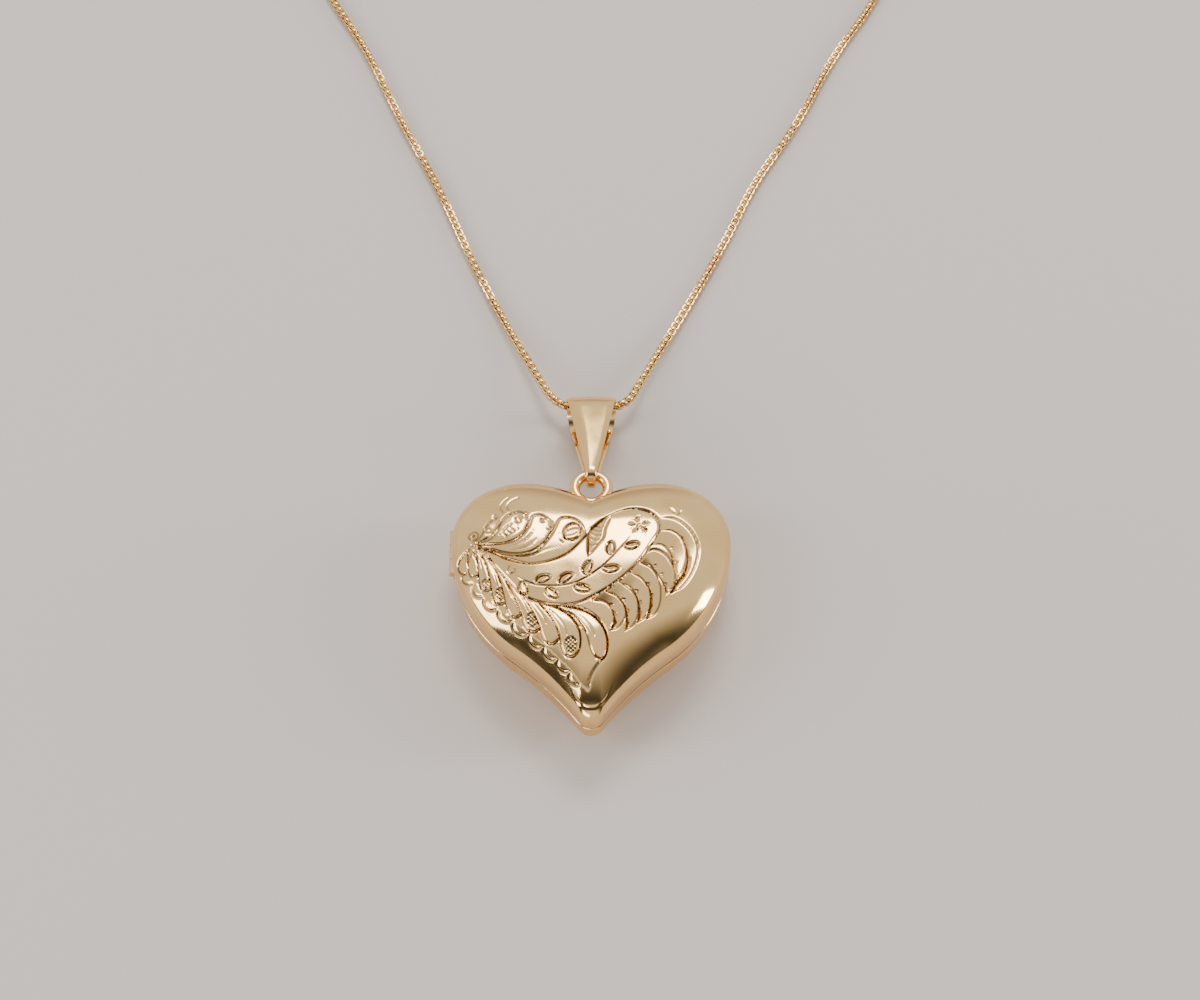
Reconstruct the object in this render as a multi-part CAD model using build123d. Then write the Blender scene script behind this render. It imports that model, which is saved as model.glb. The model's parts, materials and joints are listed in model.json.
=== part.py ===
from build123d import *
import math
import os

# A puffed heart locket on a box chain, lying on its back.
# +X is the viewer's right, +Y runs from the heart's tip to the bail, +Z is out of the engraved front.

# Heart outline
HEART_WIDTH = 25.0
HEART_HEIGHT = 24.4
LOBE_TOP_X = 6.4
CLEFT_DEPTH = 2.3
SIDE_RADIUS = 15.0
FLANK_RADIUS = 30.0
TIP_RADIUS = 1.3
SHARPEST_TIP = 0.35

# Shells
WALL = 0.5
BAND = 1.0
DOME_RISE = 3.2
SEAM_GAP = 0.08

# Inner fittings, measured inwards from the outline or from the seam
RIM_LAND = 0.8
RIM_FLANGE = 0.5
RIM_THICKNESS = 0.9
FLANGE_THICKNESS = 0.2
FRAME_WIDTH = 0.85
FRAME_THICKNESS = 0.3
WINDOW_THICKNESS = 0.14
PICTURE_THICKNESS = 0.08
SEAT_CLEARANCE = 0.05

# Hinge on the viewer's left, catch on the right
HINGE_INSET = 0.2
KNUCKLE_RADIUS = 0.4
PIN_RADIUS = 0.18
PIN_CLEARANCE = 0.03
KNUCKLE_GAP = 0.05
HINGE_END_MARGIN = 0.25
NOTCH_HALF_HEIGHT = 0.6
NOTCH_CLEARANCE = 0.1
TONGUE_INSET = 0.75
TONGUE_THICKNESS = 0.3
TONGUE_LENGTH = 1.6
TONGUE_DEPTH = 0.6
CATCH_CLEARANCE = 0.06

# Loop in the cleft and the bail that hangs from it
LOOP_RADIUS = 1.5
LOOP_WIRE_RADIUS = 0.5
LOOP_TO_LOBES = 0.15
LOOP_FOOT_WIDTH = 1.2
LOOP_FOOT_THICKNESS = 0.7
BAIL_TOP_WIDTH = 4.8
BAIL_FOLD_WIDTH = 0.7
BAIL_THICKNESS = 0.5
BAIL_REACH = 7.5
ROLL_INNER_RADIUS = 1.7
FOLD_CLEARANCE = 0.15

# Chain
CHAIN_WIDTH = 0.8
CHAIN_TO_ROLL = 0.1
COIL_MEAN_RADIUS = 4.8
COIL_SECTION_WIDTH = 2.5
COIL_SECTION_HEIGHT = 1.7
TIE_THICKNESS = 0.2
TIE_WIDTH = 0.7
END_RING_RADIUS = 0.7
END_RING_WIRE = 0.15
JUMP_RING_RADIUS = 1.15
JUMP_RING_WIRE = 0.2
RING_CLEARANCE = 0.05

# Spring ring clasp and the end tag that it hooks into
CLASP_RADIUS = 2.35
CLASP_TUBE_RADIUS = 0.65
CLASP_TUBE_WALL = 0.2
BOLT_CLEARANCE = 0.05
CLASP_GAP_ANGLE = 55.0
BOLT_INSERTION = 8.0
BOLT_TRAVEL = 60.0
BOLT_ANGLE = 92.0
KNOB_RADIUS = 0.35
KNOB_STEM_RADIUS = 0.14
SPRING_ANGLE = 110.0
EYELET_RADIUS = 0.85
EYELET_WIRE = 0.2
TAG_WIDTH = 3.8
TAG_LENGTH = 6.6
TAG_THICKNESS = 0.4
TAG_HOLE_RADIUS = 1.05
TAG_SMALL_HOLE_RADIUS = 0.6
TAG_LIFT = 0.45

SEAM_Z = BAND + DOME_RISE


def circle_meeting(centre_a, radius_a, centre_b, radius_b):
    """The right-hand point at radius_a from centre_a and radius_b from centre_b."""
    between = centre_b - centre_a
    apart = between.length
    along = (apart**2 + radius_a**2 - radius_b**2) / (2 * apart)
    across = math.sqrt(radius_a**2 - along**2)
    direction = between.normalized()
    foot = centre_a + direction * along
    sideways = Vector(-direction.Y, direction.X)
    points = [foot + sideways * across, foot - sideways * across]
    return max(points, key=lambda point: point.X)


LOBE_RADIUS = HEART_WIDTH / 2 - LOBE_TOP_X
TOP_Y = HEART_HEIGHT / 2
WIDEST_Y = TOP_Y - LOBE_RADIUS
CLEFT_Y = TOP_Y - CLEFT_DEPTH
CLEFT_ARC_RADIUS = (LOBE_TOP_X**2 + CLEFT_DEPTH**2) / (2 * CLEFT_DEPTH)
CLEFT_SLOPE = math.asin(LOBE_TOP_X / CLEFT_ARC_RADIUS)
LOBE_CENTRE = Vector(LOBE_TOP_X, WIDEST_Y)
SIDE_CENTRE = Vector(HEART_WIDTH / 2 - SIDE_RADIUS, WIDEST_Y)
TIP_CENTRE = Vector(0, TIP_RADIUS - TOP_Y)
FLANK_CENTRE = circle_meeting(
    SIDE_CENTRE, SIDE_RADIUS + FLANK_RADIUS, TIP_CENTRE, TIP_RADIUS + FLANK_RADIUS
)


def midpoint_on_circle(centre, radius, start, end):
    middle = (start + end) * 0.5 - centre
    return centre + middle.normalized() * radius


def heart_wire(inset, notch=1.0, scale=1.0, z=0.0):
    """The outline moved inwards; notch under 1 fills the cleft, and scale shrinks it about the middle."""
    cleft = Vector(0, CLEFT_Y - inset / math.cos(CLEFT_SLOPE))
    lobe_top = Vector(LOBE_TOP_X, TOP_Y - inset)
    depth = (lobe_top.Y - cleft.Y) * notch
    cleft = Vector(0, lobe_top.Y - depth)
    top_radius = (LOBE_TOP_X**2 + depth**2) / (2 * depth)
    top_centre = Vector(LOBE_TOP_X, lobe_top.Y - top_radius)
    widest = Vector(HEART_WIDTH / 2 - inset, WIDEST_Y)
    to_flank = (FLANK_CENTRE - SIDE_CENTRE).normalized()
    side_end = SIDE_CENTRE + to_flank * (SIDE_RADIUS - inset)
    tip_radius = max(TIP_RADIUS - inset, SHARPEST_TIP)
    reach = FLANK_RADIUS + inset + tip_radius
    tip_centre = Vector(0, FLANK_CENTRE.Y + math.sqrt(reach**2 - FLANK_CENTRE.X**2))
    flank_end = tip_centre + (FLANK_CENTRE - tip_centre).normalized() * tip_radius
    tip = tip_centre - Vector(0, tip_radius)
    joints = [cleft, lobe_top, widest, side_end, flank_end]
    middles = [
        midpoint_on_circle(top_centre, top_radius, cleft, lobe_top),
        midpoint_on_circle(LOBE_CENTRE, LOBE_RADIUS - inset, lobe_top, widest),
        midpoint_on_circle(SIDE_CENTRE, SIDE_RADIUS - inset, widest, side_end),
        midpoint_on_circle(FLANK_CENTRE, FLANK_RADIUS + inset, side_end, flank_end),
    ]

    def place(point, side):
        return Vector(side * point.X * scale, point.Y * scale, z)

    edges = []
    for side in (1, -1):
        for start, middle, end in zip(joints, middles, joints[1:]):
            edges.append(ThreePointArc(place(start, side), place(middle, side), place(end, side)))
    edges.append(ThreePointArc(place(flank_end, 1), place(tip, 1), place(flank_end, -1)))
    return Wire(edges)


def heart_prism(inset, low, high):
    """A straight heart-shaped block between two heights above the seam."""
    return extrude(Face(heart_wire(inset, z=low)), high - low, dir=(0, 0, 1))


# Each dome section: inset, notch, scale, share of the dome's rise
DOME_SECTIONS = [
    (0.0, 1.0, 1.0, 0.0),
    (0.25, 0.98, 1.0, 0.25),
    (0.8, 0.94, 1.0, 0.46),
    (1.7, 0.85, 1.0, 0.66),
    (2.6, 0.72, 0.93, 0.82),
    (2.6, 0.5, 0.7, 0.92),
    (2.6, 0.35, 0.42, 0.975),
    (2.6, 0.3, 0.15, 1.0),
]


def dome(inset, rise):
    """A domed block on top of the straight band, with its base on the band's top edge."""
    wires = []
    for extra, notch, scale, share in DOME_SECTIONS:
        wires.append(heart_wire(inset + extra, notch, scale, BAND + rise * share))
    return Solid.make_loft(wires)


def shell():
    """One hollow half, opening at the seam and domed upwards."""
    outer = heart_prism(0, SEAM_GAP / 2, BAND) + dome(0, DOME_RISE)
    inner = heart_prism(WALL, 0, BAND) + dome(WALL, DOME_RISE - WALL)
    return outer - inner


def heart_ring(outer_inset, inner_inset, low, high):
    return heart_prism(outer_inset, low, high) - heart_prism(inner_inset, low, high)


HINGE_X = -(HEART_WIDTH / 2 - HINGE_INSET)
hinge_up = math.sqrt(LOBE_RADIUS**2 - (LOBE_RADIUS - HINGE_INSET) ** 2) + HINGE_END_MARGIN
hinge_down = math.sqrt(SIDE_RADIUS**2 - (SIDE_RADIUS - HINGE_INSET) ** 2) + HINGE_END_MARGIN
HINGE_LENGTH = hinge_up + hinge_down
HINGE_MIDDLE_Y = WIDEST_Y + (hinge_up - hinge_down) / 2
NOTCH_INNER_X = HINGE_X + KNUCKLE_RADIUS + NOTCH_CLEARANCE


def block(low, high):
    """A box between two corners."""
    size = [b - a for a, b in zip(low, high)]
    return Box(*size, align=(Align.MIN, Align.MIN, Align.MIN)).moved(Location(low))


def hinge_notch():
    """The room for the knuckles at the seam, cut from both halves."""
    half = HINGE_LENGTH / 2 + KNUCKLE_GAP
    return block(
        (HINGE_X - 2 * KNUCKLE_RADIUS, HINGE_MIDDLE_Y - half, -NOTCH_HALF_HEIGHT),
        (NOTCH_INNER_X, HINGE_MIDDLE_Y + half, NOTCH_HALF_HEIGHT),
    )


def knuckle(index, bore_radius):
    """One of three knuckles along the hinge, with a leaf that rises to the half above the seam."""
    pitch = HINGE_LENGTH / 3
    low = HINGE_MIDDLE_Y - HINGE_LENGTH / 2 + index * pitch + KNUCKLE_GAP / 2
    high = low + pitch - KNUCKLE_GAP
    plane = Plane(origin=(HINGE_X, high, 0), z_dir=(0, -1, 0))
    barrel = extrude(plane * Circle(KNUCKLE_RADIUS), high - low)
    bore = extrude(plane * Circle(bore_radius), high - low)
    leaf = block(
        (HINGE_X, low, SEAM_GAP / 2), (NOTCH_INNER_X, high, KNUCKLE_RADIUS - SEAM_GAP / 2)
    )
    return barrel + leaf - bore


def lower_half(shape):
    """The same piece below the seam instead of above it."""
    return mirror(shape, about=Plane.XY)


def tongue_block(grow, low, high):
    outer_x = HEART_WIDTH / 2 - TONGUE_INSET + grow
    inner_x = outer_x - TONGUE_THICKNESS - 2 * grow
    half = TONGUE_LENGTH / 2 + grow
    return block((inner_x, WIDEST_Y - half, low), (outer_x, WIDEST_Y + half, high))


def rim():
    """The flat bezel inside the shell's edge, with a recess for the picture and its frame."""
    low = SEAM_GAP / 2
    high = low + RIM_THICKNESS
    recess = WALL + RIM_LAND
    body = heart_ring(WALL, recess + RIM_FLANGE, low, high)
    return body - heart_prism(recess, low, high - FLANGE_THICKNESS) - hinge_notch()


def fittings():
    """Frame, window, picture and backing, stacked in the rim's recess from its floor to the seam."""
    edge = WALL + RIM_LAND + SEAT_CLEARANCE
    floor = SEAM_GAP / 2 + RIM_THICKNESS - FLANGE_THICKNESS
    frame_low = SEAM_GAP
    window_low = frame_low + FRAME_THICKNESS
    picture_low = window_low + WINDOW_THICKNESS
    backing_low = picture_low + PICTURE_THICKNESS
    return {
        "frame": heart_ring(edge, edge + FRAME_WIDTH, frame_low, window_low),
        "window": heart_prism(edge, window_low, picture_low),
        "picture": heart_prism(edge, picture_low, backing_low),
        "backing": heart_prism(edge, backing_low, floor),
    }


def torus(radius, wire, centre, axis=(0, 0, 1)):
    return Torus(radius, wire).moved(Plane(origin=centre, z_dir=axis).location)


top_centre_y = TOP_Y - CLEFT_ARC_RADIUS
lobe_distance = CLEFT_ARC_RADIUS + LOOP_RADIUS + LOOP_WIRE_RADIUS + LOOP_TO_LOBES
LOOP_Y = top_centre_y + math.sqrt(lobe_distance**2 - LOBE_TOP_X**2)
LOOP_AXIS_Y = LOOP_Y + LOOP_RADIUS
FOLD_INNER_RADIUS = LOOP_WIRE_RADIUS + FOLD_CLEARANCE
ROLL_Y = LOOP_AXIS_Y + BAIL_REACH
ROLL_OUTER_RADIUS = ROLL_INNER_RADIUS + BAIL_THICKNESS
ROLL_Z = ROLL_OUTER_RADIUS - SEAM_Z
CHAIN_AXIS_Y = ROLL_Y + ROLL_INNER_RADIUS - CHAIN_WIDTH / 2 - CHAIN_TO_ROLL


def pendant_loop():
    """The soldered ring in the cleft, with the foot that joins it to the back shell's wall."""
    ring = torus(LOOP_RADIUS, LOOP_WIRE_RADIUS, (0, LOOP_Y, 0))
    half = LOOP_FOOT_WIDTH / 2
    foot_top = -2 * SEAM_GAP
    foot = block(
        (-half, CLEFT_Y - WALL, foot_top - LOOP_FOOT_THICKNESS),
        (half, LOOP_Y - LOOP_RADIUS, foot_top),
    )
    foot -= heart_prism(0, foot_top - 2 * LOOP_FOOT_THICKNESS, 0)
    return ring + foot


def bail_outline(fold_radius, roll_radius):
    """The bail's side view: the roll and the fold joined by their two outer tangents."""
    roll = Vector(ROLL_Y, ROLL_Z)
    fold = Vector(LOOP_AXIS_Y, 0)
    heading = (roll - fold).normalized()
    lean = math.asin((roll_radius - fold_radius) / (roll - fold).length)
    upper = heading.rotate(Axis.Z, 90 + math.degrees(lean))
    lower = heading.rotate(Axis.Z, -90 - math.degrees(lean))
    edges = [
        Line(fold + upper * fold_radius, roll + upper * roll_radius),
        ThreePointArc(
            roll + upper * roll_radius, roll + heading * roll_radius, roll + lower * roll_radius
        ),
        Line(roll + lower * roll_radius, fold + lower * fold_radius),
        ThreePointArc(
            fold + lower * fold_radius, fold - heading * fold_radius, fold + upper * fold_radius
        ),
    ]
    return Face(Wire(edges))


def bail():
    """A folded strip, wide where the chain runs through it and narrow where it holds the loop."""
    plane = Plane(origin=(-BAIL_TOP_WIDTH / 2, 0, 0), x_dir=(0, 1, 0), z_dir=(1, 0, 0))
    outside = bail_outline(FOLD_INNER_RADIUS + BAIL_THICKNESS, ROLL_OUTER_RADIUS)
    inside = bail_outline(FOLD_INNER_RADIUS, ROLL_INNER_RADIUS)
    strip = extrude(plane * outside, BAIL_TOP_WIDTH, dir=(1, 0, 0))
    strip -= extrude(plane * inside, BAIL_TOP_WIDTH, dir=(1, 0, 0))
    low_y = LOOP_AXIS_Y - FOLD_INNER_RADIUS - BAIL_THICKNESS
    high_y = ROLL_Y + ROLL_OUTER_RADIUS
    half_low = BAIL_FOLD_WIDTH / 2
    half_high = BAIL_TOP_WIDTH / 2
    taper = Polygon(
        (-half_low, low_y), (half_low, low_y), (half_high, high_y), (-half_high, high_y), align=None
    )
    return strip & extrude(Plane.XY.offset(-SEAM_Z) * taper, 2 * SEAM_Z, dir=(0, 0, 1))


# The chain's route from the middle of the bail, chosen by hand: x and y from the chain's own axis,
# z above the surface. The first corner lies just outside the bail's mouth.
BAIL_AXIS_HEIGHT = ROLL_OUTER_RADIUS
FLOOR_CHAIN_Z = CHAIN_WIDTH / 2
MOUTH_X = BAIL_TOP_WIDTH / 2
LEFT_ROUTE = [
    (0, 0, BAIL_AXIS_HEIGHT),
    (-MOUTH_X - 0.7, 0, BAIL_AXIS_HEIGHT),
    (-5.4, 5.0, 1.3),
    (-8.9, 12.4, FLOOR_CHAIN_Z),
    (-12.3, 20.3, FLOOR_CHAIN_Z),
    (-15.3, 28.3, FLOOR_CHAIN_Z),
    (-19.4, 36.8, FLOOR_CHAIN_Z),
    (-23.2, 46.4, FLOOR_CHAIN_Z),
    (-27.6, 54.0, FLOOR_CHAIN_Z),
    (-30.6, 61.5, FLOOR_CHAIN_Z),
]
RIGHT_ROUTE = [
    (0, 0, BAIL_AXIS_HEIGHT),
    (MOUTH_X + 0.7, 0, BAIL_AXIS_HEIGHT),
    (4.9, 4.4, 1.3),
    (8.6, 12.0, FLOOR_CHAIN_Z),
    (12.8, 20.5, FLOOR_CHAIN_Z),
    (16.0, 28.5, FLOOR_CHAIN_Z),
    (20.9, 36.6, FLOOR_CHAIN_Z),
    (24.6, 45.2, FLOOR_CHAIN_Z),
    (29.6, 53.2, FLOOR_CHAIN_Z),
    (32.4, 61.5, FLOOR_CHAIN_Z),
]


def chain_run(name, route):
    """A round tube along the uncoiled chain: straight runs joined by tangent arcs."""
    points = [Vector(x, y + CHAIN_AXIS_Y, z - SEAM_Z) for x, y, z in route]
    radii = []
    for before, corner, after in zip(points, points[1:], points[2:]):
        first = corner - before
        second = after - corner
        turn = math.radians(first.get_angle(second))
        radii.append(0.45 * min(first.length, second.length) / math.tan(turn / 2))
    # The chain turns tightly round the edge of the bail.
    radii[0] = min(radii[0], 1.5 * CHAIN_WIDTH)
    path = FilletPolyline(*points, radius=radii)
    section = Plane(origin=points[0], z_dir=points[1] - points[0]) * Circle(CHAIN_WIDTH / 2)
    tube = sweep(section, path=path)
    swept = section.area * path.length
    print(name, "length", round(path.length, 2), "volume ratio", round(tube.volume / swept, 4))
    print(name, "radii", [round(radius, 2) for radius in radii])
    return tube, points[-1]


def coil_and_tie(end, side):
    """The put-away rest of the chain beside the end of its run, and the thread that ties it."""
    centre = Vector(end.X - side * COIL_MEAN_RADIUS, end.Y + COIL_SECTION_WIDTH / 2)
    half_width = COIL_SECTION_WIDTH / 2
    low = TIE_THICKNESS - SEAM_Z
    middle_z = low + COIL_SECTION_HEIGHT / 2
    section = Plane.XZ * RectangleRounded(COIL_SECTION_WIDTH, COIL_SECTION_HEIGHT, CHAIN_WIDTH / 2)
    coil = revolve(section.moved(Location((COIL_MEAN_RADIUS, 0, 0))), Axis.Z)
    coil = coil.moved(Location((centre.X, centre.Y, middle_z)))
    band = RectangleRounded(
        COIL_SECTION_WIDTH + 2 * TIE_THICKNESS,
        COIL_SECTION_HEIGHT + 2 * TIE_THICKNESS,
        CHAIN_WIDTH / 2 + TIE_THICKNESS,
    )
    plane = Plane(
        origin=(centre.X, centre.Y + COIL_MEAN_RADIUS, middle_z), x_dir=(0, 1, 0), z_dir=(1, 0, 0)
    )
    tie = extrude(plane * band, TIE_WIDTH / 2, both=True) - coil
    return coil, tie, Vector(centre.X, centre.Y, -SEAM_Z)


def outside_coil(tube, centre):
    """The part of the chain's run that lies outside its coil, which it meets end on."""
    edge = COIL_MEAN_RADIUS + COIL_SECTION_WIDTH / 2
    return tube - Cylinder(edge, SEAM_Z).moved(Location(centre))


def arc_rod(radius, start, angle):
    """A round bar bent along the clasp's ring, in the ring's own frame."""
    section = Plane.XZ * Circle(radius)
    bar = revolve(section.moved(Location((CLASP_RADIUS, 0, 0))), Axis.Z, revolution_arc=angle)
    return bar.rotate(Axis.Z, start)


def spring_ring():
    """The clasp's pieces about its own centre, with the gap starting at angle 0."""
    bore = CLASP_TUBE_RADIUS - CLASP_TUBE_WALL
    tube_angle = 360 - CLASP_GAP_ANGLE
    slot_start = CLASP_GAP_ANGLE + BOLT_INSERTION / 2
    knob_angle = slot_start + BOLT_INSERTION
    slot_height = 2 * (KNOB_STEM_RADIUS + BOLT_CLEARANCE)
    slot_section = Plane.XZ * Rectangle(2 * CLASP_TUBE_RADIUS, slot_height)
    slot = revolve(
        slot_section.moved(Location((CLASP_RADIUS + CLASP_TUBE_RADIUS, 0, 0))),
        Axis.Z,
        revolution_arc=BOLT_TRAVEL + 2 * BOLT_INSERTION,
    ).rotate(Axis.Z, slot_start)
    tube = arc_rod(CLASP_TUBE_RADIUS, CLASP_GAP_ANGLE, tube_angle)
    tube -= arc_rod(bore, CLASP_GAP_ANGLE, tube_angle)
    tube -= slot
    bolt = arc_rod(bore - BOLT_CLEARANCE, -BOLT_INSERTION, BOLT_ANGLE)
    knob_out = CLASP_RADIUS + CLASP_TUBE_RADIUS + KNOB_RADIUS + BOLT_CLEARANCE
    stem = Cylinder(
        KNOB_STEM_RADIUS, knob_out - CLASP_RADIUS, align=(Align.CENTER, Align.CENTER, Align.MIN)
    )
    stem = stem.moved(Plane(origin=(CLASP_RADIUS, 0, 0), z_dir=(1, 0, 0)).location)
    knob = Sphere(KNOB_RADIUS).moved(Location((knob_out, 0, 0)))
    bolt += (stem + knob).rotate(Axis.Z, knob_angle)
    spring_start = BOLT_ANGLE - BOLT_INSERTION + 1
    spring = arc_rod(bore - BOLT_CLEARANCE, spring_start, SPRING_ANGLE)
    return tube, bolt, spring


def clasp(coil_centre, side):
    """The spring ring beside its coil, with the rings that link it to the chain's end."""
    coil_edge = COIL_MEAN_RADIUS + COIL_SECTION_WIDTH / 2
    direction = Vector(side, 0)
    middle_z = CLASP_TUBE_RADIUS
    end_ring = coil_centre + direction * (
        coil_edge + RING_CLEARANCE + END_RING_RADIUS + END_RING_WIRE
    )
    near_wire = end_ring + direction * (END_RING_RADIUS + END_RING_WIRE + EYELET_WIRE + 0.1)
    eyelet = near_wire + direction * EYELET_RADIUS
    jump = (end_ring + eyelet) * 0.5
    ring_centre = eyelet + direction * (EYELET_RADIUS + CLASP_RADIUS + CLASP_TUBE_RADIUS)
    place = Location((ring_centre.X, ring_centre.Y, coil_centre.Z + middle_z), (0, 0, 90 - 90 * side))
    tube, bolt, spring = [piece.rotate(Axis.Z, 30).moved(place) for piece in spring_ring()]
    level = (0, 0, coil_centre.Z + middle_z)
    solid_ring = torus(CLASP_RADIUS, CLASP_TUBE_RADIUS, (ring_centre.X, ring_centre.Y, level[2]))
    eye = torus(EYELET_RADIUS, EYELET_WIRE, (eyelet.X, eyelet.Y, level[2])) - solid_ring
    jump_z = coil_centre.Z + JUMP_RING_RADIUS + JUMP_RING_WIRE
    print("clasp centre", ring_centre.X, ring_centre.Y, "jump", jump.X, eyelet.X, end_ring.X)
    return {
        "chain_end_ring_left": torus(
            END_RING_RADIUS, END_RING_WIRE, (end_ring.X, end_ring.Y, level[2])
        ),
        "clasp_jump_ring": torus(
            JUMP_RING_RADIUS, JUMP_RING_WIRE, (jump.X, jump.Y, jump_z), (0, 1, 0)
        ),
        "clasp_eyelet": eye,
        "clasp_ring": tube,
        "clasp_bolt": bolt,
        "clasp_spring": spring,
    }


def tag(coil_centre, side):
    """The end tag beside its coil: a rounded plate with a hole for the clasp and one for its ring."""
    coil_edge = COIL_MEAN_RADIUS + COIL_SECTION_WIDTH / 2
    direction = Vector(side, 0)
    tag_z = coil_centre.Z + TAG_LIFT
    ring_z = tag_z + TAG_THICKNESS / 2
    end_ring = coil_centre + direction * (
        coil_edge + RING_CLEARANCE + END_RING_RADIUS + END_RING_WIRE
    )
    tag_start = end_ring + direction * (END_RING_RADIUS + END_RING_WIRE + 0.1)
    border = (TAG_WIDTH / 2) - TAG_HOLE_RADIUS
    small_hole = tag_start + direction * (border / 2 + TAG_SMALL_HOLE_RADIUS)
    plate_middle = tag_start + direction * (TAG_LENGTH / 2)
    big_hole = tag_start + direction * (TAG_LENGTH - TAG_WIDTH / 2)
    plate = RectangleRounded(TAG_LENGTH, TAG_WIDTH, TAG_WIDTH / 2 - 0.01)
    plate = plate.moved(Location((plate_middle.X, plate_middle.Y)))
    plate -= Circle(TAG_HOLE_RADIUS).moved(Location((big_hole.X, big_hole.Y)))
    plate -= Circle(TAG_SMALL_HOLE_RADIUS).moved(Location((small_hole.X, small_hole.Y)))
    jump = (end_ring + small_hole) * 0.5
    jump_z = coil_centre.Z + JUMP_RING_RADIUS + JUMP_RING_WIRE
    print("tag hole", big_hole.X, big_hole.Y, tag_z)
    return {
        "chain_end_ring_right": torus(
            END_RING_RADIUS, END_RING_WIRE, (end_ring.X, end_ring.Y, ring_z)
        ),
        "tag_jump_ring": torus(
            JUMP_RING_RADIUS, JUMP_RING_WIRE, (jump.X, jump.Y, jump_z), (0, 1, 0)
        ),
        "end_tag": extrude(Plane.XY.offset(tag_z) * plate, TAG_THICKNESS),
    }


nodes = {}
notch = hinge_notch()
nodes["front_shell"] = shell() - notch
nodes["front_rim"] = rim()
nodes["back_shell"] = lower_half(shell()) - notch
slot_depth = TONGUE_DEPTH + CATCH_CLEARANCE
slot = tongue_block(CATCH_CLEARANCE, -slot_depth - SEAM_GAP / 2, 0)
nodes["back_rim"] = lower_half(rim()) - slot
for name, piece in fittings().items():
    nodes["front_" + name] = piece
    nodes["back_" + name] = lower_half(piece)
nodes["catch_tongue"] = tongue_block(0, -TONGUE_DEPTH, SEAM_GAP / 2)
nodes["front_knuckle"] = knuckle(1, PIN_RADIUS + PIN_CLEARANCE)
back_knuckles = [lower_half(knuckle(index, PIN_RADIUS)) for index in (0, 2)]
nodes["back_knuckles"] = Compound(children=back_knuckles)
pin_plane = Plane(origin=(HINGE_X, HINGE_MIDDLE_Y, 0), z_dir=(0, 1, 0))
pin_half = HINGE_LENGTH / 2 - KNUCKLE_GAP / 2
nodes["hinge_pin"] = extrude(pin_plane * Circle(PIN_RADIUS), pin_half, both=True)
nodes["pendant_loop"] = pendant_loop()
nodes["bail"] = bail()
nodes["chain_left"], left_end = chain_run("chain_left", LEFT_ROUTE)
nodes["chain_right"], right_end = chain_run("chain_right", RIGHT_ROUTE)
nodes["chain_coil_left"], nodes["coil_tie_left"], left_coil = coil_and_tie(left_end, -1)
nodes["chain_coil_right"], nodes["coil_tie_right"], right_coil = coil_and_tie(right_end, 1)
nodes["chain_left"] = outside_coil(nodes["chain_left"], left_coil)
nodes["chain_right"] = outside_coil(nodes["chain_right"], right_coil)
nodes.update(clasp(left_coil, 1))
nodes.update(tag(right_coil, -1))

# The origin is under the middle of the locket's box, without the chain.
hinge_overhang = KNUCKLE_RADIUS - HINGE_INSET
heart_middle = Vector(
    hinge_overhang / 2,
    -(ROLL_Y + ROLL_OUTER_RADIUS - HEART_HEIGHT / 2) / 2,
    SEAM_Z,
)
print("heart middle", heart_middle)
print("hinge axis", Vector(HINGE_X, HINGE_MIDDLE_Y) + heart_middle)
print("loop axis", Vector(0, LOOP_AXIS_Y) + heart_middle)
print("chain axis", Vector(0, CHAIN_AXIS_Y, ROLL_Z) + heart_middle)
os.makedirs("parts", exist_ok=True)
for name, piece in nodes.items():
    export_step(piece.moved(Location(heart_middle)), f"parts/{name}.step")
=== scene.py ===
import json
import math

import bpy
import numpy as np
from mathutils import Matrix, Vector


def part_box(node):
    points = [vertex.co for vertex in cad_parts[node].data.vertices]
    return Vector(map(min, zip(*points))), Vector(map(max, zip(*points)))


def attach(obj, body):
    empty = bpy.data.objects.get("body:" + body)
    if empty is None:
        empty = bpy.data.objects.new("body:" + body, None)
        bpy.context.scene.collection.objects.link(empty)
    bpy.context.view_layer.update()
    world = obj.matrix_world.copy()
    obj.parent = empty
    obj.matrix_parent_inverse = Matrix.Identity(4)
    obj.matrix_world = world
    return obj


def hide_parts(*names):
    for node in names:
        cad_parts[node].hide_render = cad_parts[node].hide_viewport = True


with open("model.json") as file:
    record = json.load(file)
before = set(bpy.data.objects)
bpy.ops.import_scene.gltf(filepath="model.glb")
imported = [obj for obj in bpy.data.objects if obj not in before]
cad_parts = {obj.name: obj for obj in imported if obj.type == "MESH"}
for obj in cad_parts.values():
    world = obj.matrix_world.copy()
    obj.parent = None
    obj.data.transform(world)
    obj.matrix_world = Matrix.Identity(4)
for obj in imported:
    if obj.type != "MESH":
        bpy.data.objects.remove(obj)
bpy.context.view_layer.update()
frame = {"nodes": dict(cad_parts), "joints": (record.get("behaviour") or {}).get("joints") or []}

MM = 0.001
NODES = frame["nodes"]
JOINTS = {joint["name"]: Vector(joint["pos_m"]) for joint in frame["joints"]}
CHAIN_AXIS = JOINTS["bail_swing"]
LOOP_AXIS = JOINTS["locket_swing"]
shell_low, shell_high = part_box("front_shell")
back_low, back_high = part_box("back_shell")
SEAM_Z = (shell_low.z + back_high.z) / 2
HEART = Vector(((shell_low.x + shell_high.x) / 2, (shell_low.y + shell_high.y) / 2, SEAM_Z))
HEART_MM = np.array(HEART) / MM

# ---- camera

TARGET = HEART + Vector((0.8, 11.5, -0.2)) * MM
ELEVATION = math.radians(57)
DISTANCE = 0.2575

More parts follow.
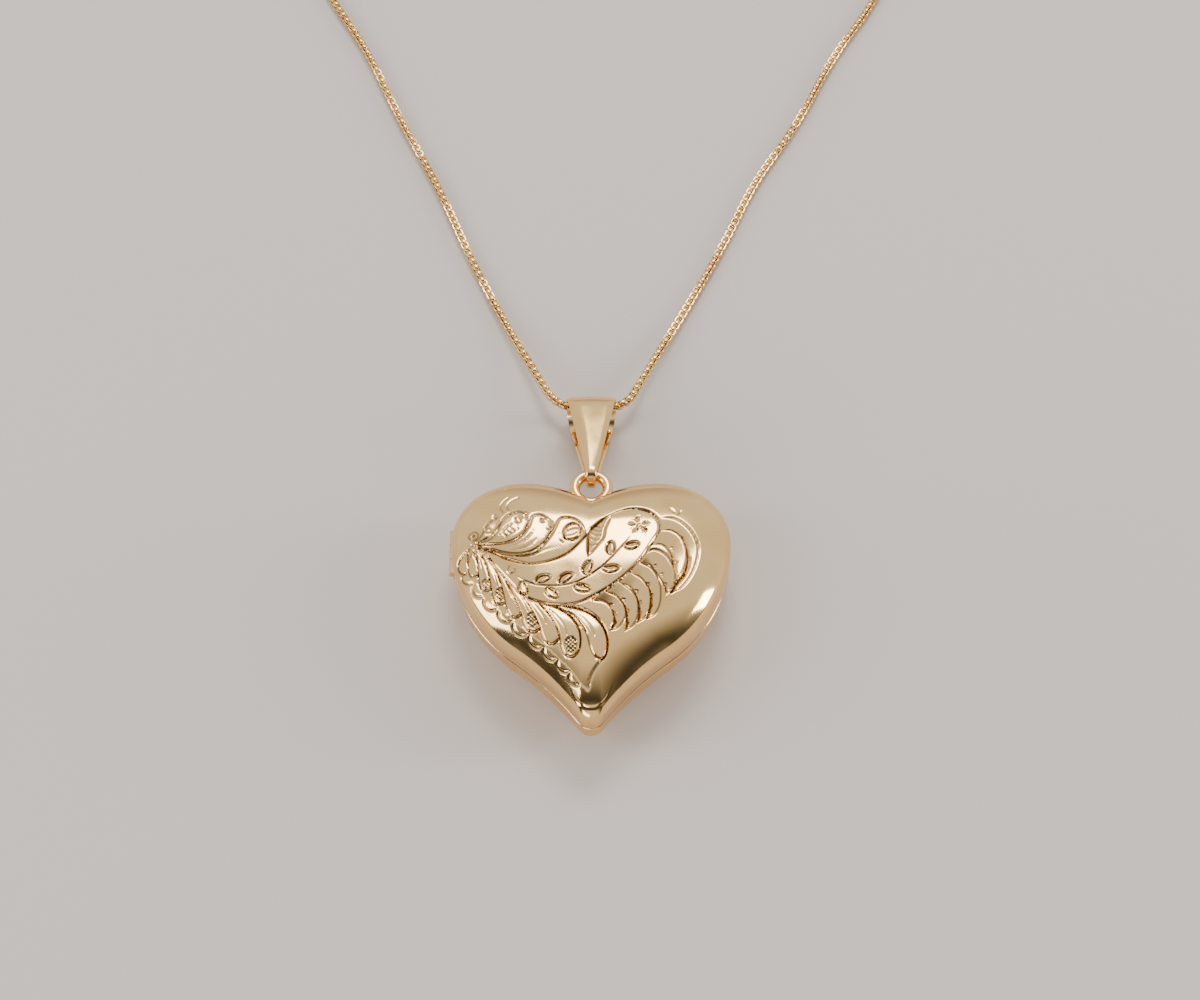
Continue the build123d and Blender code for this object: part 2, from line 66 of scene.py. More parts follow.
camera_data = bpy.data.cameras.new("camera")
camera_data.lens = 85
camera_data.sensor_width = 36
camera_data.clip_start = 0.005
camera = bpy.data.objects.new("camera", camera_data)
bpy.context.scene.collection.objects.link(camera)
camera.location = TARGET + DISTANCE * Vector((0, -math.cos(ELEVATION), math.sin(ELEVATION)))
camera.rotation_euler = (math.pi / 2 - ELEVATION, 0, 0)
bpy.context.scene.camera = camera
bpy.context.view_layer.update()

# ---- materials


class Shader:
    """A node material: a Principled shader and short ways to feed it."""

    def __init__(self, name, colour, metallic=0.0, roughness=0.5, **sockets):
        self.material = bpy.data.materials.new(name)
        self.material.use_nodes = True
        self.tree = self.material.node_tree
        self.shader = self.tree.nodes["Principled BSDF"]
        self.coordinates = self.tree.nodes.new("ShaderNodeTexCoord").outputs["Object"]
        self.set("Base Color", (*colour, 1))
        self.set("Metallic", metallic)
        self.set("Roughness", roughness)
        for socket, value in sockets.items():
            self.set(socket.replace("_", " "), value)

    def set(self, socket, value):
        self.shader.inputs[socket].default_value = value

    def link(self, output, target):
        self.tree.links.new(output, target)

    def stretched(self, scale):
        mapping = self.tree.nodes.new("ShaderNodeMapping")
        mapping.inputs["Scale"].default_value = scale
        self.link(self.coordinates, mapping.inputs["Vector"])
        return mapping.outputs["Vector"]

    def noise(self, scale, detail=3.0, stretch=(1, 1, 1)):
        node = self.tree.nodes.new("ShaderNodeTexNoise")
        node.inputs["Scale"].default_value = scale
        node.inputs["Detail"].default_value = detail
        self.link(self.stretched(stretch), node.inputs["Vector"])
        return node.outputs["Fac"]

    def spread(self, value, low, high, start=0.3, end=0.7):
        node = self.tree.nodes.new("ShaderNodeMapRange")
        for name, number in (
            ("From Min", start), ("From Max", end), ("To Min", low), ("To Max", high)
        ):
            node.inputs[name].default_value = number
        self.link(value, node.inputs["Value"])
        return node.outputs["Result"]

    def blend(self, factor, first, second):
        node = self.tree.nodes.new("ShaderNodeMix")
        node.data_type = "RGBA"
        for socket, value in ((node.inputs[6], first), (node.inputs[7], second)):
            if isinstance(value, tuple):
                socket.default_value = (*value, 1)
            else:
                self.link(value, socket)
        self.link(factor, node.inputs[0])
        return node.outputs[2]

    def attribute(self, name):
        node = self.tree.nodes.new("ShaderNodeAttribute")
        node.attribute_name = name
        return node.outputs["Fac"]

    def colour(self, output):
        self.link(output, self.shader.inputs["Base Color"])

    def roughness(self, output):
        self.link(output, self.shader.inputs["Roughness"])

    def bump(self, height, distance, strength=1.0):
        node = self.tree.nodes.new("ShaderNodeBump")
        node.inputs["Strength"].default_value = strength
        node.inputs["Distance"].default_value = distance
        self.link(height, node.inputs["Height"])
        self.link(node.outputs["Normal"], self.shader.inputs["Normal"])


GOLD = (0.93, 0.62, 0.27)
GOLD_DEEP = (0.88, 0.55, 0.21)
# Painted shade: this near-black colour is blended into the engraved grooves and the inner faces of
# the chain links.
PAINTED_SHADE = (0.13, 0.055, 0.018)


def gold(name, light=GOLD, deep=GOLD_DEEP, smooth=0.07, worn=0.17, groove=None):
    """Polished gold: warm and cool patches, hairline scratches and duller handled places, and
    painted shade where a groove attribute is given.
    """
    shader = Shader(name, light, metallic=1.0, roughness=smooth)
    patches = shader.spread(shader.noise(260, 3), 0.0, 1.0)
    colour = shader.blend(patches, light, deep)
    # Painted shade: the groove attribute blends the colour towards the painted shade colour.
    if groove:
        cut = shader.attribute(groove)
        colour = shader.blend(cut, colour, PAINTED_SHADE)
    shader.colour(colour)
    shader.roughness(shader.spread(shader.noise(420, 5), smooth, worn, 0.35, 0.75))
    hairlines = shader.noise(900, 4, stretch=(6.0, 0.35, 1.0))
    shader.bump(hairlines, 0.0000025, 0.35)
    return shader.material


def steel():
    shader = Shader("spring_steel", (0.52, 0.53, 0.55), metallic=1.0, roughness=0.3)
    shader.roughness(shader.spread(shader.noise(900, 4), 0.2, 0.42))
    shader.colour(shader.blend(shader.noise(500), (0.45, 0.46, 0.48), (0.60, 0.60, 0.62)))
    return shader.material


def clear_sheet():
    """A thin weak mirror: light passes straight through to the picture, and a glint stays."""
    shader = Shader("clear_sheet", (0.62, 0.64, 0.65), metallic=1.0, roughness=0.04, Alpha=0.12)
    shader.roughness(shader.spread(shader.noise(300, 4), 0.03, 0.12))
    shader.bump(shader.noise(180, 2), 0.000004, 0.4)
    return shader.material


def card(name, light, dark, mottle):
    """Thick paper with short fibres."""
    shader = Shader(name, light, roughness=0.7)
    fibres = shader.noise(1500, 5, stretch=(1, 5, 1))
    clouds = shader.noise(mottle, 3)
    paper = shader.blend(shader.spread(clouds, 0, 1), light, dark)
    shader.colour(shader.blend(shader.spread(fibres, 0, 0.25), paper, dark))
    shader.bump(fibres, 0.00001, 0.5)
    return shader.material


def thread():
    shader = Shader("tie_thread", (0.62, 0.50, 0.36), roughness=0.75, Sheen_Weight=0.3)
    twist = shader.noise(2200, 3, stretch=(1, 4, 4))
    shader.colour(shader.blend(shader.spread(twist, 0, 1), (0.70, 0.58, 0.43), (0.46, 0.35, 0.23)))
    shader.bump(twist, 0.00003, 0.7)
    return shader.material


FINISHES = {
    "polished_gold": gold("polished_gold"),
    # The engraved and chain golds take painted shade from the cut attribute.
    "engraved_gold": gold("engraved_gold", groove="cut"),
    "inner_gold": gold("inner_gold", (0.80, 0.50, 0.22), (0.70, 0.41, 0.16), 0.22, 0.4),
    "chain_gold": gold(
        "chain_gold", (0.93, 0.61, 0.25), (0.80, 0.47, 0.16), 0.09, 0.22, groove="cut"
    ),
    "spring_steel": steel(),
    "clear_sheet": clear_sheet(),
    "picture_card": card("picture_card", (0.80, 0.76, 0.68), (0.66, 0.59, 0.49), 320),
    "backing_card": card("backing_card", (0.72, 0.66, 0.56), (0.60, 0.52, 0.42), 900),
    "tie_thread": thread(),
}

KEPT_NODES = {
    "polished_gold": (
        "hinge_pin", "back_knuckles", "front_knuckle", "clasp_jump_ring", "tag_jump_ring",
        "clasp_eyelet", "clasp_ring", "clasp_bolt", "end_tag",
        "chain_end_ring_left", "chain_end_ring_right", "catch_tongue",
    ),
    "inner_gold": ("front_rim", "back_rim", "front_frame", "back_frame"),
    "spring_steel": ("clasp_spring",),
    "picture_card": ("front_picture", "back_picture"),
    "backing_card": ("front_backing", "back_backing"),
}
for finish, names in KEPT_NODES.items():
    for name in names:
        slots = NODES[name].data.materials
        slots.clear()
        slots.append(FINISHES[finish])

# ---- mesh helpers


def piece(name, vertices_mm, faces, finish, body, replaced=(), sharp=None):
    """A new mesh object from points in millimetres in the row frame."""
    mesh = bpy.data.meshes.new(name)
    mesh.from_pydata((np.asarray(vertices_mm) * MM).tolist(), [], faces)
    mesh.validate()
    mesh.polygons.foreach_set("use_smooth", np.ones(len(mesh.polygons), bool))
    if sharp is not None:
        mesh.set_sharp_from_angle(angle=math.radians(sharp))
    mesh.materials.append(FINISHES[finish])
    obj = bpy.data.objects.new(name, mesh)
    bpy.context.scene.collection.objects.link(obj)
    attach(obj, body)
    if replaced:
        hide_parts(*replaced)
    return obj


def grid_faces(rows, columns, close_rows=False, flip=False):
    """Quads between rows of points; each row closes on itself, and the rows can too."""
    faces = []
    for row in range(rows if close_rows else rows - 1):
        here = row * columns
        above = (row + 1) % rows * columns
        for column in range(columns):
            after = (column + 1) % columns
            quad = [here + column, here + after, above + after, above + column]
            faces.append(quad[::-1] if flip else quad)
    return faces


def store_painted_shade(obj, values):
    """Store how much painted shade each point gets, for materials with a groove attribute; the
    attribute is named cut.
    """
    layer = obj.data.attributes.new("cut", "FLOAT", "POINT")
    layer.data.foreach_set("value", np.asarray(values, np.float32))


def run_lengths(line):
    """How far along the line each of its points is."""
    steps = np.linalg.norm(np.diff(line, axis=0), axis=1)
    return np.concatenate([[0], np.cumsum(steps)])


def at_stations(line, along, stations):
    """Points of a line at new stations."""
    return np.stack([np.interp(stations, along, values) for values in line.T], 1)


def unit(vectors):
    return vectors / np.linalg.norm(vectors, axis=1)[:, None]


def circle(middle, radius, start=0, end=360, count=24, squash=1.0, turn=0.0):
    """An arc in the plane; squash and turn make it an ellipse that leans."""
    angles = np.radians(np.linspace(start, end, count))
    spin = math.radians(turn)
    x, y = radius * np.cos(angles), radius * squash * np.sin(angles)
    cos, sin = math.cos(spin), math.sin(spin)
    return np.stack([middle[0] + x * cos - y * sin, middle[1] + x * sin + y * cos], 1)


def tube(points, radius, sides=10, closed=True, flat=1.0):
    """A round tube along points; flat squeezes it along Z."""
    points = np.asarray(points, float)
    if closed:
        tangents = np.roll(points, -1, 0) - np.roll(points, 1, 0)
    else:
        tangents = np.gradient(points, axis=0)
    tangents = unit(tangents)
    # No tube here runs along this direction, so the cross product never vanishes.
    guide = np.array([0.13, 0.21, 0.97])
    across = unit(np.cross(tangents, guide))
    up = np.cross(across, tangents)
    angles = np.arange(sides) * 2 * math.pi / sides
    ring = np.cos(angles)[None, :, None] * across[:, None] + (
        np.sin(angles)[None, :, None] * up[:, None] * flat
    )
    vertices = (points[:, None] + radius * ring).reshape(-1, 3)
    faces = grid_faces(len(points), sides, close_rows=closed)
    if not closed:
        last = len(vertices) - sides
        faces.append(list(range(sides))[::-1])
        faces.append(list(range(last, last + sides)))
    return vertices, faces


def joined(parts):
    vertices, faces, offset = [], [], 0
    for part_vertices, part_faces in parts:
        vertices.append(part_vertices)
        faces += [[index + offset for index in face] for face in part_faces]
        offset += len(part_vertices)
    return np.concatenate(vertices), faces


# ---- chain

LINK_PITCH = 0.42
LINK_HALF, LINK_CORNER = 0.315, 0.13
LINK_CORNER_POINTS = 3
BAIL_AXIS_HEIGHT = 2.2
MOUTH_X = 2.4
FLOOR_Z = 0.4
# x and y from the chain's axis, z above the surface, as in the CAD, in millimetres
LEFT_ROUTE = [
    (0, 0, BAIL_AXIS_HEIGHT), (-MOUTH_X - 0.7, 0, BAIL_AXIS_HEIGHT), (-5.4, 5.0, 1.3),
    (-8.9, 12.4, FLOOR_Z), (-12.3, 20.3, FLOOR_Z), (-15.3, 28.3, FLOOR_Z),
    (-19.4, 36.8, FLOOR_Z), (-23.2, 46.4, FLOOR_Z), (-27.6, 54.0, FLOOR_Z),
    (-30.6, 61.5, FLOOR_Z),
]
RIGHT_ROUTE = [
    (0, 0, BAIL_AXIS_HEIGHT), (MOUTH_X + 0.7, 0, BAIL_AXIS_HEIGHT), (4.9, 4.4, 1.3),
    (8.6, 12.0, FLOOR_Z), (12.8, 20.5, FLOOR_Z), (16.0, 28.5, FLOOR_Z),
    (20.9, 36.6, FLOOR_Z), (24.6, 45.2, FLOOR_Z), (29.6, 53.2, FLOOR_Z),
    (32.4, 61.5, FLOOR_Z),
]
COIL_START, COIL_SWEEP = 30, 5 * 360 + 110
COIL_OUTER, COIL_INNER = 5.6, 3.48
COIL_LOW_Z, COIL_HIGH_Z = 0.45, 1.3
COIL_RISE_START, COIL_RISE_SHARE = 0.46, 0.08
COIL_EXIT = [(5.7, 1.6, 1.1), (6.25, 0.3, 0.8)]
POINTS_PER_TURN = 12


def coil_points(centre_x, centre_y, side):
    """The put-away length: a spiral inwards on the floor and a second one back out on top."""
    steps = round(COIL_SWEEP / 360 * POINTS_PER_TURN)
    points = []
    for step in range(steps + 1):
        share = step / steps
        angle = math.radians(COIL_START + COIL_SWEEP * share)
        inwards = 1 - abs(2 * share - 1)
        radius = COIL_OUTER - (COIL_OUTER - COIL_INNER) * inwards
        rise = min(max((share - COIL_RISE_START) / COIL_RISE_SHARE, 0), 1)
        height = COIL_LOW_Z + (COIL_HIGH_Z - COIL_LOW_Z) * rise * rise * (3 - 2 * rise)
        x, y = side * radius * math.cos(angle), radius * math.sin(angle)
        points.append((centre_x + x, centre_y + y, height))
    return points


def route_line(route, side):
    """The half chain's line in millimetres, read from one smooth spline."""
    end_x, end_y, _ = route[-1]
    coil_low, coil_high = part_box("chain_coil_left" if side < 0 else "chain_coil_right")
    centre = (coil_low + coil_high) / 2 / MM
    points = [
        (CHAIN_AXIS.x / MM + x, CHAIN_AXIS.y / MM + y, z) for x, y, z in route
    ]
    points += coil_points(centre.x, centre.y, side)
    points += [(centre.x - side * x, centre.y + y, z) for x, y, z in COIL_EXIT]
    curve = bpy.data.curves.new("route", "CURVE")
    curve.dimensions = "3D"
    curve.resolution_u = 16
    spline = curve.splines.new("NURBS")
    spline.points.add(len(points) - 1)
    for control, point in zip(spline.points, points):
        control.co = (*point, 1)
    spline.order_u = 3
    spline.use_endpoint_u = True
    holder = bpy.data.objects.new("route", curve)
    mesh = bpy.data.meshes.new_from_object(holder)
    line = np.array([vertex.co for vertex in mesh.vertices], float)
    bpy.data.objects.remove(holder)
    bpy.data.curves.remove(curve)
    bpy.data.meshes.remove(mesh)
    return line


def evenly(line, spacing):
    """Points every spacing along a line."""
    along = run_lengths(line)
    return at_stations(line, along, np.arange(spacing / 2, along[-1], spacing))


LINK_SECTION = [
    (0.085, -0.15), (0.085, 0.15), (0.045, 0.2), (-0.045, 0.2),
    (-0.085, 0.15), (-0.085, -0.15), (-0.045, -0.2), (0.045, -0.2),
]


def link_shade():
    """How much painted shade each point of a link gets: its inner faces are coloured dark, where
    shade falls between the links.
    """
    innermost, inner, outer = 0.95, 0.25, 0.0
    section = [
        innermost if out < -0.05 else inner if out < 0 else outer for out, _ in LINK_SECTION
    ]
    return section * 4 * LINK_CORNER_POINTS


def link_template():
    """One box link: a square ring of flat wire with rounded corners, in (along, across, side)."""
    reach = (LINK_HALF - LINK_CORNER) * math.sqrt(2)
    path = []
    for quarter in range(4):
        for share in np.linspace(0, 1, LINK_CORNER_POINTS):
            angle = math.radians(90 * (quarter + share))
            middle = math.radians(90 * quarter + 45)
            x, y = math.cos(angle), math.sin(angle)
            along = reach * math.cos(middle) + LINK_CORNER * x
            across = reach * math.sin(middle) + LINK_CORNER * y
            path.append((along, across, x, y))
    vertices = [
        (along + out * normal_along, across + out * normal_across, sideways)
        for along, across, normal_along, normal_across in path
        for out, sideways in LINK_SECTION
    ]
    return np.array(vertices), grid_faces(len(path), len(LINK_SECTION), close_rows=True)


def half_chain(name, route, side, replaced):
    line = route_line(route, side)
    centres = evenly(line, LINK_PITCH)
    tangents = unit(np.gradient(centres, axis=0))
    across = unit(np.cross((0, 0, 1.0), tangents))
    up = np.cross(tangents, across)
    count = np.arange(len(centres))
    # The links lean a little to and fro, as they settle.
    roll = 0.16 * np.sin(count * 0.21) + 0.1 * np.sin(count * 0.077 + side)
    roll = roll + (count % 2) * math.pi / 2
    first = np.cos(roll)[:, None] * across + np.sin(roll)[:, None] * up
    second = np.cross(tangents, first)
    template, template_faces = link_template()
    vertices = (
        centres[:, None]
        + template[None, :, 0, None] * tangents[:, None]
        + template[None, :, 1, None] * first[:, None]
        + template[None, :, 2, None] * second[:, None]
    ).reshape(-1, 3)
    faces = [
        [index + link * len(template) for index in face]
        for link in range(len(centres))
        for face in template_faces
    ]
    obj = piece(name, vertices, faces, "chain_gold", "necklace", replaced, sharp=50)
    # Painted shade: the inner faces of the links are coloured dark through the cut attribute.
    store_painted_shade(obj, np.tile(link_shade(), len(centres)))


half_chain(
    "box_chain_left", LEFT_ROUTE, -1, ("chain_left", "chain_coil_left"),
)
half_chain(
    "box_chain_right", RIGHT_ROUTE, 1, ("chain_right", "chain_coil_right"),
)


THREAD_RADIUS, KNOT_RADIUS = 0.095, 0.08


def coil_tie(name, node):
    """A few windings of thread round the coil, with a small flat knot on top."""
    low, high = (np.array(corner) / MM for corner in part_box(node))
    middle = (low + high) / 2
    half_y, half_z = (high - low)[1:] / 2 - 0.1
    parts = []
    for index, offset in enumerate((-0.26, -0.09, 0.09, 0.26)):
        turns = np.linspace(0, 2 * math.pi, 40, endpoint=False)
        corner = (np.abs(np.cos(turns)) ** 3 + np.abs(np.sin(turns)) ** 3) ** (-1 / 3)
        points = np.stack(
            [
                middle[0] + offset + 0.05 * np.sin(turns * 2 + index),
                middle[1] + half_y * corner * np.cos(turns),
                middle[2] + half_z * corner * np.sin(turns),
            ],
            1,
        )
        parts.append(tube(points, THREAD_RADIUS, 8))
    for lean in (-1, 1):
        turns = np.linspace(0, 2 * math.pi, 20, endpoint=False)
        x, y = 0.3 * np.cos(turns), 0.16 * np.sin(turns) + lean * 0.08
        z = high[2] - 0.02 + 0.06 * np.sin(turns * 2 + lean)
        parts.append(tube(np.stack([middle[0] + x, middle[1] + y, z], 1), KNOT_RADIUS, 8))
    vertices, faces = joined(parts)
    piece(name, vertices, faces, "tie_thread", "necklace", (node,))


coil_tie("thread_tie_left", "coil_tie_left")
coil_tie("thread_tie_right", "coil_tie_right")

# ---- heart shells

HALF_WIDTH = (shell_high.x - shell_low.x) / 2 / MM
TOP_Y = (shell_high.y - shell_low.y) / 2 / MM
LOBE_TOP_X = 6.4
CLEFT_DEPTH = 2.3
SIDE_RADIUS = 15.0
FLANK_RADIUS = 30.0
TIP_RADIUS = 1.3
WALL = 0.5
BAND = 1.0
DOME_RISE = 3.2
SEAM_LAND = 0.04
# How the dome bulges, how the cleft fades inwards, and how rows crowd at the edge
DOME_FLATNESS, DOME_SHOULDER = 3, 2.1
KEPT_WAVES, CREASE_FADE = 3.2, 2.2
ROW_CROWDING = 1.25
GRID_MIDDLE = np.array([0.0, 1.0])
HINGE_Y = JOINTS["cover_hinge"].y / MM - HEART_MM[1]
NOTCH_HALF_LENGTH = 2.3
NOTCH_HALF_HEIGHT = 0.6


def outline(count):
    """Points round the heart, evenly spaced from the cleft down the right side and back up."""
    lobe_radius = HALF_WIDTH - LOBE_TOP_X
    widest_y = TOP_Y - lobe_radius
    top_radius = (LOBE_TOP_X**2 + CLEFT_DEPTH**2) / (2 * CLEFT_DEPTH)
    top_middle = (LOBE_TOP_X, TOP_Y - top_radius)
    lobe_middle = (LOBE_TOP_X, widest_y)
    side_middle = (HALF_WIDTH - SIDE_RADIUS, widest_y)
    tip_middle = (0.0, TIP_RADIUS - TOP_Y)
    # The flank's circle touches the side's and the tip's from outside.
    apart = math.dist(side_middle, tip_middle)
    to_side, to_tip = SIDE_RADIUS + FLANK_RADIUS, TIP_RADIUS + FLANK_RADIUS
    along = (apart**2 + to_side**2 - to_tip**2) / (2 * apart)
    off = math.sqrt(to_side**2 - along**2)
    ux = (tip_middle[0] - side_middle[0]) / apart
    uy = (tip_middle[1] - side_middle[1]) / apart
    flank_middle = (
        side_middle[0] + ux * along - uy * off, side_middle[1] + uy * along + ux * off
    )

    def bearing(start, end):
        return math.degrees(math.atan2(end[1] - start[1], end[0] - start[0]))

    side_turn = bearing(side_middle, flank_middle)
    tip_turn = bearing(tip_middle, flank_middle)
    cleft_turn = bearing(top_middle, (0.0, TOP_Y - CLEFT_DEPTH))
    arcs = [
        (top_middle, top_radius, cleft_turn, 90),
        (lobe_middle, lobe_radius, 90, 0),
        (side_middle, SIDE_RADIUS, 0, side_turn),
        (flank_middle, FLANK_RADIUS, side_turn + 180, tip_turn + 180),
        (tip_middle, TIP_RADIUS, tip_turn, -90),
    ]
    points = []
    for middle, radius, start, end in arcs:
        arc = circle(middle, radius, start, end, count=400)
        points.append(arc if not points else arc[1:])
    right = np.concatenate(points)
    along = run_lengths(right)
    right = at_stations(right, along, np.linspace(0, along[-1], count // 2 + 1))
    left = right[-2:0:-1] * (-1, 1)
    return np.concatenate([right, left])


def inset(points, distance):
    """The outline moved inwards."""
    tangent = unit(np.roll(points, -1, 0) - np.roll(points, 1, 0))
    return points + distance * np.stack([tangent[:, 1], -tangent[:, 0]], 1)


def without_crease(points):
    """The same number of points on a smooth egg-like line, to fade the cleft towards the middle."""
    offset = points - GRID_MIDDLE
    angles = np.unwrap(np.arctan2(offset[:, 1], offset[:, 0]))
    reach = np.linalg.norm(offset, axis=1)
    order = np.argsort(np.mod(angles, 2 * math.pi))
    even = np.linspace(0, 2 * math.pi, 1024, endpoint=False)
    even_reach = np.interp(
        even, np.mod(angles, 2 * math.pi)[order], reach[order], period=2 * math.pi
    )
    waves = np.fft.rfft(even_reach)
    waves *= np.exp(-(np.arange(len(waves)) / KEPT_WAVES) ** 2)
    smooth = np.fft.irfft(waves, len(even))
    smooth_reach = np.interp(np.mod(angles, 2 * math.pi), even, smooth, period=2 * math.pi)
    return GRID_MIDDLE + offset / reach[:, None] * smooth_reach[:, None]


def dome_rows(edge, rise, shares):
    """Rows of points from the edge of the dome to near its middle."""
    smooth = without_crease(edge)
    rows = []
    for share in shares:
        keep = share**CREASE_FADE
        line = GRID_MIDDLE + share * (smooth + (edge - smooth) * keep - GRID_MIDDLE)
        height = BAND + rise * (1 - share**DOME_FLATNESS) ** (1 / DOME_SHOULDER)
        rows.append(np.column_stack([line, np.full(len(line), height)]))
    return rows


def surface_normals(grid):
    """Normals of rows of closed rings, the first dimension running inwards."""
    around = np.roll(grid, -1, 1) - np.roll(grid, 1, 1)
    inwards = np.gradient(grid, axis=0)
    normals = np.cross(inwards, around)
    lengths = np.linalg.norm(normals, axis=2)[:, :, None]
    normals = normals / np.maximum(lengths, 1e-9)
    return np.where(normals[:, :, 2:] < 0, -normals, normals)


def shell_mesh(name, columns, dome_count, inner_count, relief, finish, body, replaced, mirrored):
    edge = outline(columns)
    shares = 1 - np.linspace(0, 1, dome_count + 1)[:-1] ** ROW_CROWDING
    dome = np.stack(dome_rows(edge, DOME_RISE, shares))
    # How much painted shade each point of the dome gets, from the engraving.
    cut = np.zeros(dome.shape[:2])
    if relief:
        height, cut = relief(dome[:, :, :2])
        # The relief fades out in the outermost fortieth of the dome.
        fade = np.clip((1 - shares) * 40, 0, 1)[:, None]
        dome = dome + surface_normals(dome) * (height * fade)[:, :, None]
        cut = cut * fade
    inner_edge = inset(edge, WALL)
    # The wall's edge, from the inside over the seam's land and up the outside.
    rows = [
        (inner_edge, BAND * 0.98),
        (inner_edge, SEAM_LAND),
        (inset(edge, 0.08), SEAM_LAND),
        (inset(edge, 0.02), SEAM_LAND + 0.03),
        (edge, SEAM_LAND + 0.1),
        (edge, 0.62),
    ]
    band = np.stack([np.column_stack([line, np.full(columns, z)]) for line, z in rows])
    in_notch = (band[0, :, 0] < 0) & (np.abs(band[0, :, 1] - HINGE_Y) < NOTCH_HALF_LENGTH)
    raised = np.where(in_notch[None], NOTCH_HALF_HEIGHT, 0)
    band[:, :, 2] = np.maximum(band[:, :, 2], raised)
    inner_shares = np.linspace(0.12, 1, inner_count)
    inner = np.stack(dome_rows(inner_edge, DOME_RISE - WALL, inner_shares))
    grid = np.concatenate([inner, band, dome])
    cut = np.concatenate([np.zeros((len(inner) + len(band), columns)), cut])
    vertices = grid.reshape(-1, 3)
    faces = grid_faces(len(grid), columns, flip=not mirrored)
    # Both surfaces close on a point in the middle.
    tops = np.array([(*GRID_MIDDLE, BAND + rise) for rise in (DOME_RISE - WALL, DOME_RISE)])
    if relief:
        middle_height, _ = relief(tops[None, 1:, :2])
        tops[1, 2] += middle_height[0, 0]
    vertices = np.concatenate([vertices, tops])
    inner_top, outer_top = len(vertices) - 2, len(vertices) - 1
    last = (len(grid) - 1) * columns
    for column in range(columns):
        after = (column + 1) % columns
        inside = [inner_top, column, after]
        outside = [outer_top, last + after, last + column]
        faces.append(inside if mirrored else inside[::-1])
        faces.append(outside if mirrored else outside[::-1])
    if mirrored:
        vertices = vertices * (1, 1, -1)
    obj = piece(name, vertices + HEART_MM, faces, finish, body, replaced, sharp=55)
    # The painted shade of the engraved grooves goes to the material as a point attribute.
    store_painted_shade(obj, [*cut.ravel(), 0, 0])


# ---- engraving


def curve_through(points, per_span=12):
    """A smooth line through given points (Catmull-Rom)."""
    points = np.asarray(points, float)
    padded = np.concatenate([[2 * points[0] - points[1]], points, [2 * points[-1] - points[-2]]])
    shares = np.linspace(0, 1, per_span, endpoint=False)[:, None]
    line = []
    for a, b, c, d in zip(padded, padded[1:], padded[2:], padded[3:]):
        line.append(
            0.5
            * (
                2 * b
                + (c - a) * shares
                + (2 * a - 5 * b + 4 * c - d) * shares**2
                + (3 * b - a - 3 * c + d) * shares**3
            )
        )
    return np.concatenate(line + [points[-1:]])


def leaf_profile(along, full_at):
    """A leaf's share of its full half width along its middle line."""
    swell = np.sin(np.clip(along / full_at, 0, 1) * math.pi / 2) ** 1.3
    past = np.clip(along - full_at, 0, 1) / (1 - full_at)
    return swell * np.sqrt(np.clip(1 - past**2.2, 0, 1))


